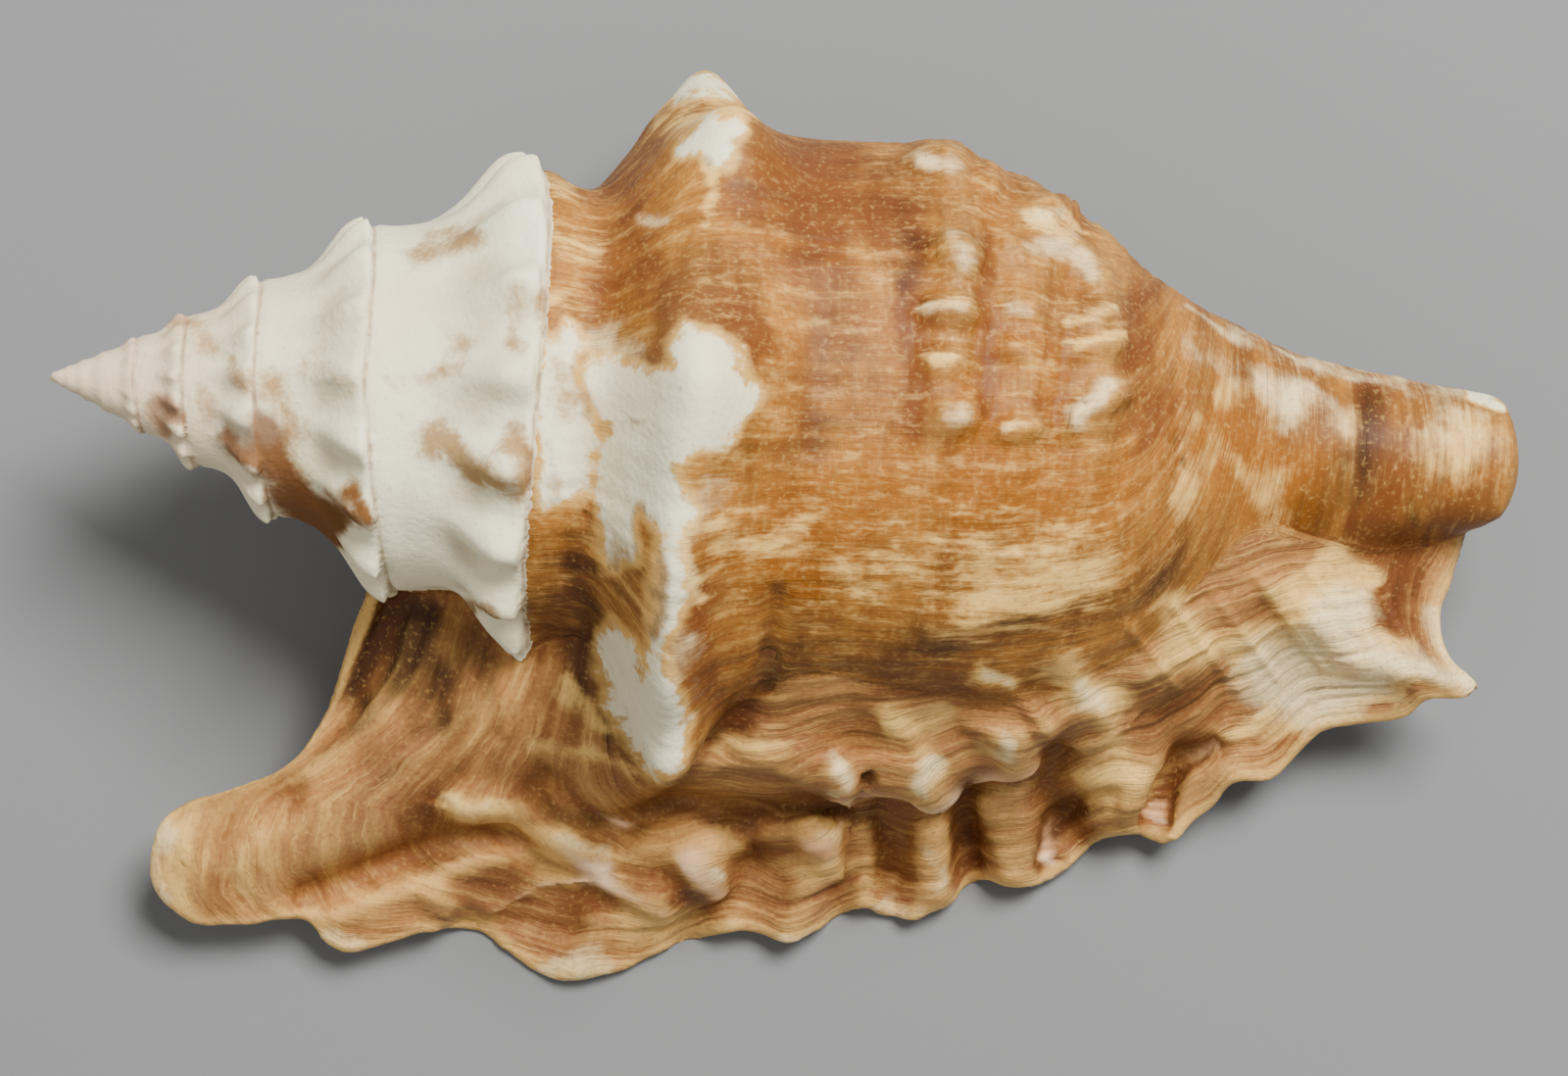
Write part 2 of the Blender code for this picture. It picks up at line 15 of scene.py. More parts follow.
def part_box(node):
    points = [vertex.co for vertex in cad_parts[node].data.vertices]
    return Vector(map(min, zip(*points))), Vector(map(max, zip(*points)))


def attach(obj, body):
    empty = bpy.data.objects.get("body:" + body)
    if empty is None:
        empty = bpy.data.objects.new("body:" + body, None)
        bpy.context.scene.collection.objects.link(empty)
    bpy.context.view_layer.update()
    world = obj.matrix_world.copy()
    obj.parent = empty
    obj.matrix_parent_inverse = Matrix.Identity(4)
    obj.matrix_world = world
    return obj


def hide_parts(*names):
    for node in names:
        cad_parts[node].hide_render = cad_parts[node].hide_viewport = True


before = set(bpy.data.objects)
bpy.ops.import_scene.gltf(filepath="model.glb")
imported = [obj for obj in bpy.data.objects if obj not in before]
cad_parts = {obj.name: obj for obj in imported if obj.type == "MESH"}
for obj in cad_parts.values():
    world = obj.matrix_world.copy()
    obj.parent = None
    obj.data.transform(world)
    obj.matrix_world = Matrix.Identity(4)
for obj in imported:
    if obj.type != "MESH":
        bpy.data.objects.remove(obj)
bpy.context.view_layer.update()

MM = 0.001
solid_low, solid_high = (np.array(corner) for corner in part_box("shell"))
print("the solid measures", ((solid_high - solid_low) / MM).round(1), "mm")

# %% [markdown]
# A shell is a tube that coils round an axis while it widens. So nearly every shape on it is easiest to
# say in three numbers: how far along the axis from the apex, at what angle round it, and how far out.
# Angles start at the back of the shell, which points up, and grow towards the lip.

# %% The coiling axis, in millimetres
APEX = np.array([-69.1, 15.2, 30.6])
AXIS_YAW = math.radians(-2.2)
AXIS_DIP = math.radians(5.6)
SHELL_LENGTH = 139.5
CANAL_ASIDE = 2.4
CANAL_TURNS = (98.0, 128.0)
CANAL_CURL = 3.0
CANAL_CURLS = (116.0, 141.0)

ALONG = np.array([math.cos(AXIS_DIP) * math.cos(AXIS_YAW), math.cos(AXIS_DIP) * math.sin(AXIS_YAW),
                  -math.sin(AXIS_DIP)])
UP = np.array([math.sin(AXIS_DIP) * math.cos(AXIS_YAW), math.sin(AXIS_DIP) * math.sin(AXIS_YAW),
               math.cos(AXIS_DIP)])
ASIDE = np.cross(ALONG, UP)


def ease(x, low, high):
    """0 below low, 1 above high, and a smooth step between them."""
    t = np.clip((x - low) / (high - low), 0.0, 1.0)
    return t * t * (3 - 2 * t)


def hump(x, middle, half_width):
    """A rounded bump of height 1."""
    return np.exp(-(((x - middle) / half_width) ** 2))


def axis_point(a):
    """The middle of the shell at a distance a from the apex."""
    a = np.asarray(a, float)[..., None]
    bend = CANAL_ASIDE * ease(a, *CANAL_TURNS)
    curl = CANAL_CURL * ease(a, *CANAL_CURLS) ** 2
    return APEX + a * ALONG + bend * ASIDE + curl * UP


def around(a, angle, radius):
    """Points at a radius and an angle in degrees round the axis."""
    turn = np.radians(angle)[..., None]
    return axis_point(a) + radius[..., None] * (np.cos(turn) * UP + np.sin(turn) * ASIDE)


def seen_round_axis(points):
    """The other way round: place along the axis, angle and radius of points."""
    a = (points - APEX) @ ALONG
    out = points - axis_point(a)
    return a, np.degrees(np.arctan2(out @ ASIDE, out @ UP)), np.linalg.norm(out, axis=-1)


print("the canal's tip lies at", axis_point(SHELL_LENGTH).round(1))

# %% [markdown]
# Profiles are a few points with a smooth curve through them. A smooth curve matters here, because
# straight runs between the points would show as bands of light on a glossy surface.

# %% Smooth curves through a few points
CURVE_STEPS = 40


def curve_through(points, at):
    """Points on a smooth curve through the given ones, which lie at 0, 1, 2 and so on."""
    points = np.asarray(points, float)
    at = np.clip(np.asarray(at, float), 0, len(points) - 1 - 1e-9)
    i = at.astype(int)
    t = (at - i).reshape(at.shape + (1,) * (points.ndim - 1))
    tangents = np.gradient(points, axis=0)
    p, q, m, n = points[i], points[i + 1], tangents[i], tangents[i + 1]
    return ((1 + 2 * t) * (1 - t) ** 2 * p + t * (1 - t) ** 2 * m
            + t * t * (3 - 2 * t) * q - t * t * (1 - t) * n)


def profile(table, at):
    """A smooth height read from a table of (place, height)."""
    places, heights = np.array(table).T
    fine = np.linspace(0, len(places) - 1, CURVE_STEPS * len(places))
    return np.interp(at, curve_through(places, fine), curve_through(heights, fine))


print("a quarter of the way up a hill of three points:", curve_through([0.0, 1.0, 0.0], 0.25))

# %% [markdown]
# The spire is a cone whose whorls hollow below each suture and swell at the shoulder, with a row of
# knobs there. Whorls shrink by the same ratio all the way to the apex, so counting turns needs a
# logarithm: equal steps of the count are equal ratios of length.

# %% The spire
WHORL_RATIO = 0.66
SHRINK = -math.log(WHORL_RATIO)
LAST_TURN = 7
LAST_SUTURE = 45.4
LAST_GROOVE_TURN = 7.4
SUTURE_LEAN = 0.18
LEAN_REACH = 52.0
LEANS_TO_LIP = (34.0, 44.0)
SUTURE_DEPTH = 0.34
SUTURE_HALF_WIDTH = 0.42
SUTURES_BEGIN = (1.0, 10.0)
KNOB_STEP = 22.5
FIRST_KNOB = -3.0
KNOB_HEIGHT = 0.115
KNOB_SHARPNESS = 1.5
KNOB_ROW = (0.82, 0.24)
KNOBS_CUT_OFF = (0.95, 1.0)
KNOBS_BEGIN = (4.0, 12.0)
FULLER_BELOW = 0.05
SPIRE_SLOPE = [(0.0, 0.51), (14.0, 0.52), (24.0, 0.54), (33.0, 0.54), (41.0, 0.505), (46.0, 0.47),
               (56.0, 0.44), (68.0, 0.40)]
WHORL_PROFILE = [(0.00, 1.01), (0.05, 0.985), (0.20, 0.93), (0.40, 0.90), (0.58, 0.90),
                 (0.70, 0.93), (0.80, 0.97), (0.90, 1.00), (0.97, 1.015), (1.00, 1.00)]


def whorl_number(a, angle):
    """Turns counted along the spiral: whole numbers are sutures, and 7 is the last one."""
    sway = np.sin(np.radians(angle))
    sway = np.where(sway > 0, sway * ease(a, *LEANS_TO_LIP), sway)
    lean = SUTURE_LEAN * 0.5 * np.minimum(a, LEAN_REACH) * sway
    return LAST_TURN + np.log(np.maximum(a + lean, 0.02) / LAST_SUTURE) / SHRINK - angle / 360


def suture_groove(a, turns):
    """A fine incised line where one whorl meets the next, in millimetres."""
    away = np.abs(turns - np.round(turns)) * SHRINK * a
    groove = SUTURE_DEPTH * hump(away, 0, SUTURE_HALF_WIDTH)
    return groove * ease(a, *SUTURES_BEGIN) * (turns < LAST_GROOVE_TURN)


def spire_radius(a, angle, turns):
    """Radius of the spire, with its knobs."""
    slope = profile(SPIRE_SLOPE, a)
    fuller = 1 + FULLER_BELOW * np.sin(np.radians(angle)) * (1 - ease(a, *LEANS_TO_LIP))
    part = turns - np.floor(turns)
    along_spiral = 360 * np.floor(turns) + angle - FIRST_KNOB
    knob = (0.5 + 0.5 * np.cos(np.radians(along_spiral * 360 / KNOB_STEP))) ** KNOB_SHARPNESS
    knob = knob * hump(part, *KNOB_ROW) * (1 - ease(part, *KNOBS_CUT_OFF)) * ease(a, *KNOBS_BEGIN)
    return a * slope * fuller * (profile(WHORL_PROFILE, part) + KNOB_HEIGHT * knob)


sutures = [round(LAST_SUTURE * WHORL_RATIO ** n, 1) for n in range(LAST_TURN + 1)]
print("sutures cross the back at", sutures, "mm")

# %% [markdown]
# The last whorl is the widest, and in front it narrows to the canal. Its radius is a profile along the
# axis that swells a little with every degree. Towards the canal the swelling stops, because the end of
# the shell is straight.

# %% The last whorl
LAST_WHORL = [(40.0, 21.4), (45.4, 21.6), (48.5, 20.6), (51.5, 21.0), (54.5, 23.8), (58.0, 26.6),
              (63.0, 27.2), (70.0, 26.6), (80.0, 26.6), (87.0, 26.0), (93.0, 24.4), (99.0, 21.8),
              (104.0, 18.2), (109.0, 14.4), (113.0, 11.6), (118.0, 9.7), (125.0, 8.6), (132.0, 7.4),
              (137.0, 6.5), (139.5, 5.9)]
LAST_WHORL_GROWTH = 0.175
CANAL_STOPS_GROWING = (92.0, 118.0)
LEAN_AT_SHOULDER = 25.0
LEAN_ENDS = (80.0, 112.0)


def last_radius(a, turned):
    """Radius of the last whorl at turned degrees before or after the back of the shell."""
    grow = SHRINK * (1 - ease(a, *CANAL_STOPS_GROWING))
    lean = SUTURE_LEAN * LEAN_AT_SHOULDER * np.sin(np.radians(turned)) * (1 - ease(a, *LEAN_ENDS))
    at = (a + lean) * np.exp(-grow * turned / 360)
    return np.exp(LAST_WHORL_GROWTH * turned / 360) * profile(LAST_WHORL, at)


print("radius at the shoulder, over the back:", round(float(last_radius(np.array(58.0), 0.0)), 1), "mm")

# %% [markdown]
# The shoulder carries big knobs that run together into a keel towards the lip. The front half carries
# three cords, which swing towards the canal over the back, with fine threads between them. All of
# these are humps that are added to the radius.

# %% Shoulder knobs, cords and threads
# angle, place along the axis, height, half width round in degrees, half width along
SHOULDER_KNOBS = [
    (-98.0, 61.2, 6.6, 16.0, 4.7), (-56.0, 62.0, 5.2, 12.0, 5.0), (-2.0, 58.5, 6.4, 16.0, 6.0),
    (30.0, 57.2, 3.6, 20.0, 4.0), (58.0, 57.8, 4.6, 16.0, 3.6), (82.0, 59.0, 8.6, 13.0, 4.4),
    (93.0, 45.2, 2.8, 7.0, 1.7), (-135.0, 54.0, 2.4, 13.0, 4.4),
]
KNOB_ROUNDNESS = (1.7, 2.0)
CORDS = [(81.0, 0.95), (88.4, 0.8), (95.4, 1.2)]
CORD_HALF_WIDTH = 2.2
CORD_BEADS = 32
FIRST_BEAD = -6.5
BEAD_SHARE = 0.1
CORDS_ROUND = (-127.0, -107.0, 0.0, 32.0)
CORD_SWING = 3.2
THREAD_STEP = 1.35
THREAD_HEIGHT = 0.13
THREADS_ALONG = (70.0, 78.0, 101.0, 106.0)
THREADS_ROUND = (-150.0, -110.0, 20.0, 60.0)


def between(x, begins, there, leaves, gone):
    """0 before begins, 1 from there to leaves, and 0 again when gone."""
    return ease(x, begins, there) * (1 - ease(x, leaves, gone))


def with_knobs(radius, a, angle):
    """The radius with the shoulder's knobs added."""
    for knob_angle, place, height, round_width, along_width in SHOULDER_KNOBS:
        away = np.abs((angle - knob_angle + 180) % 360 - 180)
        slope = np.abs(away / round_width) ** KNOB_ROUNDNESS[0]
        slope = slope + np.abs((a - place) / along_width) ** KNOB_ROUNDNESS[1]
        radius = radius + height * np.exp(-slope)
    return radius


def cords(a, angle):
    """The beaded cords and the threads between them."""
    place = a + CORD_SWING * np.sin(np.radians(angle))
    beads = 1 - BEAD_SHARE + BEAD_SHARE * np.cos(np.radians(CORD_BEADS * (angle - FIRST_BEAD)))
    rows = sum(height * hump(place, row, CORD_HALF_WIDTH) * beads for row, height in CORDS)
    threads = THREAD_HEIGHT * (0.5 + 0.5 * np.cos(2 * math.pi * place / THREAD_STEP))
    threads = threads * between(place, *THREADS_ALONG) * between(angle, *THREADS_ROUND)
    return rows * between(angle, *CORDS_ROUND) + threads


print("the whorl has", len(SHOULDER_KNOBS), "knobs and", len(CORDS), "cords")

# %% [markdown]
# The core of the shell is the spire up to the last suture and the last whorl after it. The two pass
# into each other without a step, also where the last whorl begins, right under the spire. On the lip's
# side the outer wall leaves the coil, and the whorl that was built a turn before shows instead.

# %% The whole core
LAST_WHORL_BEGINS = (7.0, 7.28)
YOUNG_PART = (-180.0, -120.0)
YOUNG_TURNS = (7.85, 8.1)
LIP_LEAVES = (78.0, 108.0)
LIP_LEAVES_UNTIL = (108.0, 122.0)
BLUNT_END = 2.2


def core_radius(a, angle):
    """Radius of the coiled core, from the spire to the canal."""
    turns = whorl_number(a, angle)
    spire = spire_radius(a, angle, turns)
    outer = last_radius(a, angle)
    inner = last_radius(a, angle - 360)
    lip_gone = ease(angle, *LIP_LEAVES)
    last = outer + (inner - outer) * lip_gone * (1 - ease(a, *LIP_LEAVES_UNTIL))
    begins = ease(turns, *LAST_WHORL_BEGINS)
    young = 1 - ease(angle, *YOUNG_PART)
    last = last + (spire - last) * young * (1 - ease(turns, *YOUNG_TURNS))
    radius = np.where(turns < LAST_TURN, spire, spire * (1 - begins) + last * begins)
    radius = with_knobs(radius, a, angle) + cords(a, angle) - suture_groove(a, turns)
    blunt = np.clip((SHELL_LENGTH - a) / BLUNT_END, 0.0, 1.0)
    return radius * np.sqrt(1 - (1 - blunt) ** 2)


middle_radius = core_radius(np.array(70.0), np.array(0.0))
print("radius over the back at 70 mm:", round(float(middle_radius), 2), "mm")

# %% [markdown]
# The lip is a sheet of shell that flares out of the last whorl. Ribs run from roots inside the whorl
# to points of the free margin. Most are straight when seen from above, and those of the back lobe bow
# sideways, as the lobe turns towards the spire.

# %% Ribs of the flared lip
# the free margin from the spire round to the canal, as x, y and height
LIP_MARGIN = [
    (-39.0, -5.5, 22.0), (-42.0, -11.5, 18.0), (-45.0, -18.0, 15.0), (-49.0, -22.5, 13.0),
    (-55.5, -25.0, 11.5), (-59.0, -26.0, 10.5), (-61.5, -28.0, 10.0), (-63.0, -32.0, 8.5),
    (-62.5, -35.5, 8.0), (-59.0, -38.5, 7.0), (-54.5, -39.0, 7.0), (-49.0, -38.0, 7.5),
    (-47.0, -38.5, 7.0), (-45.5, -41.0, 5.0), (-43.0, -42.0, 4.0), (-39.5, -41.0, 4.5),
    (-36.0, -40.0, 5.5), (-30.5, -40.0, 4.0), (-28.5, -41.5, 2.5), (-25.0, -44.0, 1.0),
    (-21.5, -45.0, 0.2), (-16.0, -44.0, 0.6), (-10.0, -41.0, 3.0), (-5.5, -39.5, 5.0),
    (-2.5, -40.0, 3.4), (0.5, -41.0, 2.4), (3.5, -40.0, 2.9), (5.0, -39.0, 3.4),
    (8.0, -37.5, 4.2), (10.0, -38.0, 3.0), (13.5, -38.5, 1.6), (16.5, -37.0, 2.2),
    (19.0, -35.0, 3.6), (22.0, -35.0, 3.0), (25.0, -35.5, 2.0), (28.0, -34.0, 3.2),
    (31.5, -31.0, 6.0), (34.0, -30.2, 5.5), (38.0, -30.5, 4.5), (40.5, -28.5, 6.0),
    (42.5, -27.0, 7.0), (44.5, -24.5, 8.5), (48.5, -24.0, 8.0), (51.5, -20.5, 10.0),
    (53.5, -19.0, 11.0), (60.5, -18.0, 12.0), (62.5, -16.2, 13.5), (65.0, -15.5, 13.0),
    (67.0, -14.5, 13.0), (64.5, -12.0, 15.0), (63.5, -7.5, 16.5), (65.5, -3.0, 17.0),
    (66.0, 0.0, 18.0),
]
# number of a margin point, and where its rib starts inside the whorl
LIP_ROOTS = [
    (0, (-36.0, 4.0, 22.0)), (4, (-30.0, 1.5, 23.0)), (8, (-25.5, -0.5, 24.0)),
    (12, (-22.5, -1.5, 25.5)), (16, (-19.5, -2.2, 28.0)), (20, (-15.0, -2.8, 32.0)),
    (23, (-8.0, -3.0, 38.0)), (26, (0.0, -3.0, 42.5)), (30, (10.0, -2.5, 42.0)),
    (34, (20.0, -2.0, 40.0)), (38, (31.0, -1.0, 35.5)), (42, (41.0, 2.0, 30.0)),
    (45, (50.0, 4.0, 24.0)), (48, (56.0, 6.0, 20.5)), (52, (60.5, 7.5, 19.5)),
]
# number of a margin point, and how far its rib bows sideways, in x and y
LIP_BENDS = [
    (0, 1.0, -1.0), (1, 1.5, -3.7), (2, 1.8, -6.3), (3, 2.3, -8.8), (4, 3.3, -12.3), (5, 5.0, -13.8),
    (6, 6.9, -12.0), (8, 8.8, -7.0), (10, 6.5, -4.2), (12, 3.0, -3.5), (16, 0.0, 0.0), (42, 0.0, 0.0),
    (44, -0.3, -1.5), (46, -1.0, -4.5), (48, -4.0, -8.0), (50, -2.0, -3.0), (52, -1.0, -3.0),
]
print("the margin has", len(LIP_MARGIN), "points and the lip", len(LIP_ROOTS), "roots")

# %% [markdown]
# The folds are drawn on the sheet as lines seen from above, each with a height, or a depth below 0.
# That keeps each fold where it is on the real shell, which a regular wave along the margin wouldn't.
# They grow from the root outward, so that the sheet is smooth where it leaves the whorl.

# %% Folds of the flared lip
LIP_THICKNESS = (3.2, 2.6)
LIP_RIM = 0.45
LIP_STEEPNESS = 0.5
FOLDS_GROW = (0.12, 0.5)
RIBS, STEPS = 1041, 181

# height, half width, points along the fold
LIP_FOLDS = [
    (3.4, 6.5, [(-58.5, -30.5), (-47.5, -29.5), (-37.5, -25.5), (-31.0, -18.0), (-28.0, -12.0)]),
    (-2.4, 2.2, [(-47.0, -35.5), (-42.0, -33.5), (-36.5, -31.0), (-32.5, -29.0), (-26.5, -29.0)]),
    (1.6, 2.8, [(-42.5, -41.0), (-38.5, -36.0), (-33.5, -33.0), (-28.5, -32.0)]),
    (-2.0, 2.4, [(-32.0, -40.0), (-29.0, -36.5), (-25.0, -34.0), (-19.0, -33.5)]),
    (3.2, 4.0, [(-20.5, -45.0), (-17.5, -39.0), (-12.5, -35.0), (-8.0, -32.0)]),
    (-2.8, 1.9, [(-10.0, -40.0), (-6.5, -36.0), (-5.0, -33.5), (-3.0, -30.5)]),
    (2.6, 2.6, [(0.5, -41.0), (2.0, -35.5), (4.0, -30.5), (3.5, -28.0)]),
    (-2.6, 1.5, [(5.5, -38.0), (5.5, -33.5), (6.0, -29.5), (6.0, -26.0)]),
    (-1.6, 1.4, [(11.0, -36.5), (11.5, -33.0), (12.0, -28.5)]),
    (2.4, 2.2, [(13.5, -38.5), (14.5, -34.0), (15.0, -29.5), (14.5, -25.5)]),
    (-2.4, 1.6, [(18.0, -35.0), (17.5, -30.5), (17.5, -26.5), (18.0, -24.0)]),
    (2.6, 2.4, [(24.5, -35.0), (23.0, -28.5), (22.0, -24.5), (22.5, -21.5)]),
    (-2.8, 1.8, [(30.5, -31.0), (27.5, -28.0), (26.0, -23.5), (27.0, -20.0)]),
    (2.8, 2.8, [(37.5, -30.0), (34.0, -25.5), (31.5, -22.0), (30.5, -19.5)]),
    (-2.4, 1.5, [(36.5, -29.5), (37.0, -25.0), (38.0, -22.5), (39.5, -21.0)]),
    (1.4, 2.6, [(46.0, -24.5), (43.5, -22.5), (42.0, -20.0)]),
    (1.8, 2.8, [(66.5, -15.0), (62.5, -13.0), (55.5, -12.0), (50.0, -7.5)]),
    (2.4, 3.2, [(-10.5, -21.5), (-3.5, -22.0), (5.5, -22.5), (13.0, -22.5), (18.5, -19.5),
                (26.5, -17.0), (32.5, -14.0), (39.0, -11.5)]),
    (-2.3, 1.7, [(-15.0, -27.0), (-9.5, -25.5), (-3.5, -26.0), (3.0, -25.0), (7.5, -24.0),
                 (14.0, -25.5), (17.5, -23.5), (22.5, -21.5), (27.5, -18.5), (33.5, -16.0)]),
]


def distance_to_line(x, y, line):
    """How far points are from a line through the given corners, seen from above."""
    nearest = np.full(np.shape(x), np.inf)
    for (x0, y0), (x1, y1) in zip(line, line[1:]):
        dx, dy = x1 - x0, y1 - y0
        t = np.clip(((x - x0) * dx + (y - y0) * dy) / max(dx * dx + dy * dy, 1e-9), 0, 1)
        nearest = np.minimum(nearest, np.hypot(x - x0 - t * dx, y - y0 - t * dy))
    return nearest


def lip_surface(u, v):
    """The lip's back: u counts the margin's points from the spire, v runs from root to margin."""
    numbers, roots = zip(*LIP_ROOTS)
    margin = curve_through(LIP_MARGIN, u)
    root = curve_through(roots, np.interp(u, numbers, np.arange(len(roots))))
    points = root + (margin - root) * v[..., None]
    bends = np.array(LIP_BENDS)
    bend = curve_through(bends[:, 1:], np.interp(u, bends[:, 0], np.arange(len(bends))))
    points[..., :2] += (2 * v * (1 - v))[..., None] * bend
    drop = LIP_STEEPNESS * np.sin(2 * math.pi * v) / (2 * math.pi)
    points[..., 2] += (root - margin)[..., 2] * drop
    grows = ease(v, *FOLDS_GROW)
    for height, half_width, line in LIP_FOLDS:
        near = distance_to_line(points[..., 0], points[..., 1], line)
        points[..., 2] += height * hump(near, 0, half_width) * grows
    return points


lip_u, lip_v = np.meshgrid(
    np.linspace(0, len(LIP_MARGIN) - 1, RIBS), np.linspace(0, 1, STEPS), indexing="ij")
ends = lip_u[:, :1]
ribs = lip_surface(ends, np.ones_like(ends)) - lip_surface(ends, np.zeros_like(ends))
breadth = np.linalg.norm(ribs, axis=-1)
lip_back = lip_surface(lip_u, lip_v * (1 - LIP_RIM * LIP_THICKNESS[1] / breadth))
print("the lip is", breadth.max().round(1), "mm broad at most")

# %% [markdown]
# Both shapes become closed grids: rings of equal count, with a fan of triangles over each end. A
# closed grid can be joined with another and rebuilt as one skin, which is how the lip is made to grow
# out of the whorl without a seam. The core's rings lie closer together towards the apex.

# %% The core as a closed grid
APEX_RINGS, WHORL_RINGS, END_RINGS = 170, 330, 16
APEX_PART = (0.2, 20.0)
RING_POINTS = 540


def closed_grid(rings, start, end):
    """Vertices and faces of a tube of equal rings, closed to a point at both ends."""
    count, size = rings.shape[:2]
    points = np.vstack([rings.reshape(-1, 3), start, end])
    i, j = np.meshgrid(np.arange(count - 1), np.arange(size), indexing="ij")
    k = (j + 1) % size
    quads = np.stack([i * size + j, i * size + k, (i + 1) * size + k, (i + 1) * size + j], axis=-1)
    first, last = count * size, count * size + 1
    ring = np.arange(size)
    after = (ring + 1) % size
    foot, head = np.full(size, first), np.full(size, last)
    fans = np.stack([foot, after, ring], axis=-1).tolist()
    fans += np.stack([head, ring + (count - 1) * size, after + (count - 1) * size], axis=-1).tolist()
    return points, quads.reshape(-1, 4).tolist() + fans


def core_grid():
    """The coiled core as rings round the axis, closer together towards the apex."""
    places = np.concatenate([
        np.geomspace(*APEX_PART, APEX_RINGS)[:-1],
        np.linspace(APEX_PART[1], SHELL_LENGTH - BLUNT_END, WHORL_RINGS)[:-1],
        SHELL_LENGTH - BLUNT_END * (1 - np.sin(np.linspace(0, 0.48 * math.pi, END_RINGS))),
    ])
    angles = np.linspace(-180.0, 180.0, RING_POINTS, endpoint=False)
    a, angle = np.meshgrid(places, angles, indexing="ij")
    rings = around(a, angle, core_radius(a, angle))
    return closed_grid(rings, axis_point(0.0), axis_point(SHELL_LENGTH))


core = core_grid()
print("the core's grid has", len(core[0]), "points")

# %% [markdown]
# A sheet needs a second face. It lies one thickness below the back, along normals that are smoothed
# round the lip first, because narrow folds would make it cut through itself. A rounded rim joins both.

# %% The lip as a thick sheet
NORMAL_SPREAD = 31
THICKENS_DOWN = 0.5
RIM_POINTS = 9


def lip_grid():
    """The lip as a thick sheet: its back, its inner face and the rounded rim that joins them."""
    across, outward = np.gradient(lip_back, axis=0), np.gradient(lip_back, axis=1)
    normals = np.cross(across, outward)
    normals /= np.linalg.norm(normals, axis=-1, keepdims=True)
    normals *= np.sign(normals[..., 2:3].mean())
    spread = np.ones(NORMAL_SPREAD) / NORMAL_SPREAD
    for side in range(3):
        normals[..., side] = np.apply_along_axis(np.convolve, 0, normals[..., side], spread, "same")
    normals[..., 2] += THICKENS_DOWN
    normals /= np.linalg.norm(normals, axis=-1, keepdims=True)
    outward /= np.linalg.norm(outward, axis=-1, keepdims=True)
    thickness = np.interp(lip_v, [0, 1], LIP_THICKNESS)[..., None]
    inner = lip_back - normals * thickness
    bow = [(lip_back + inner) / 2 + normals * thickness / 2 * math.cos(t)
           + LIP_RIM * thickness * math.sin(t) * outward for t in np.linspace(0, math.pi, RIM_POINTS)[1:-1]]
    rim = np.stack([step[:, -1] for step in bow], axis=1)
    loops = np.concatenate([lip_back, rim, inner[:, ::-1]], axis=1)
    return closed_grid(loops[:, ::-1], loops[0].mean(axis=0), loops[-1].mean(axis=0))


lip = lip_grid()
print("the lip's grid has", len(lip[0]), "points")

# %% [markdown]
# The hollow is one long cutter. It winds in under the back of the shell, follows the columella, and
# runs out as the canal's gutter.

# %% The aperture
# place along the axis, first angle and last angle of what is cut away
APERTURE = [
    (50.0, 70.0, 100.0), (56.0, 48.0, 112.0), (64.0, 30.0, 120.0), (75.0, 20.0, 126.0),
    (90.0, 20.0, 130.0), (100.0, 30.0, 136.0), (108.0, 50.0, 146.0), (116.0, 82.0, 160.0),
    (124.0, 106.0, 178.0), (132.0, 122.0, 190.0), (143.5, 130.0, 198.0),
]
BACK_WALL = 3.2
CANAL_WALL = 2.2
WALL_THINS = (100.0, 122.0)
OUTER_WALL_ANGLE = 80.0
CUT_PAST_LIP = 4.0
LIP_IS_CUT = (80.0, 118.0)
COLUMELLA = 0.33
INNER_LIP_GAP = 0.5
FOLLOWS_CORE = (92.0, 128.0)
FOLLOWS_UNTIL = (106.0, 116.0)
HOLLOW_OPENS = (47.0, 62.0)
LEAST_OPENING = 0.8
CUT_STEPS, CUT_RINGS = 90, 240


def aperture_grid():
    """What is cut away below, between a first and a last angle at each place along the axis."""
    table = np.array(APERTURE)
    share = np.linspace(0.0, 1.0, CUT_STEPS)
    rings = []
    for place in np.linspace(table[0, 0], table[-1, 0], CUT_RINGS):
        first, last = (np.interp(place, table[:, 0], table[:, side]) for side in (1, 2))
        angles = first + (last - first) * share
        a = np.full_like(angles, place)
        thickness = BACK_WALL + (CANAL_WALL - BACK_WALL) * ease(a, *WALL_THINS)
        wall = last_radius(a, np.minimum(angles, OUTER_WALL_ANGLE)) - thickness
        middle = COLUMELLA * wall
        follows_core = ease(angles, *FOLLOWS_CORE) * (1 - ease(a, *FOLLOWS_UNTIL))
        inner = middle + (last_radius(a, angles - 360) + INNER_LIP_GAP - middle) * follows_core
        outer = wall + (thickness + CUT_PAST_LIP) * ease(angles, *LIP_IS_CUT)
        centre = 0.5 * (outer + inner)
        narrow = math.sqrt(float(ease(place, *HOLLOW_OPENS)))
        outer = centre + (outer - centre) * narrow
        inner = np.minimum(centre + (inner - centre) * narrow, outer - LEAST_OPENING)
        rings.append(np.concatenate([around(a, angles, outer), around(a, angles, inner)[::-1]]))
    rings = np.array(rings)
    return closed_grid(rings, rings[0].mean(axis=0), rings[-1].mean(axis=0))


hollow_cutter = aperture_grid()
print("the cutter's grid has", len(hollow_cutter[0]), "points")

# %% [markdown]
# Now the grids become one skin. A voxel remesh joins what overlaps, the cutter opens the hollow, and a
# second remesh rounds the cut edges a little, as a living lip is rounded. Everything is worked in
# millimetres here and only turned into metres at the end.

# %% One skin
SKIN_STEP = 0.50


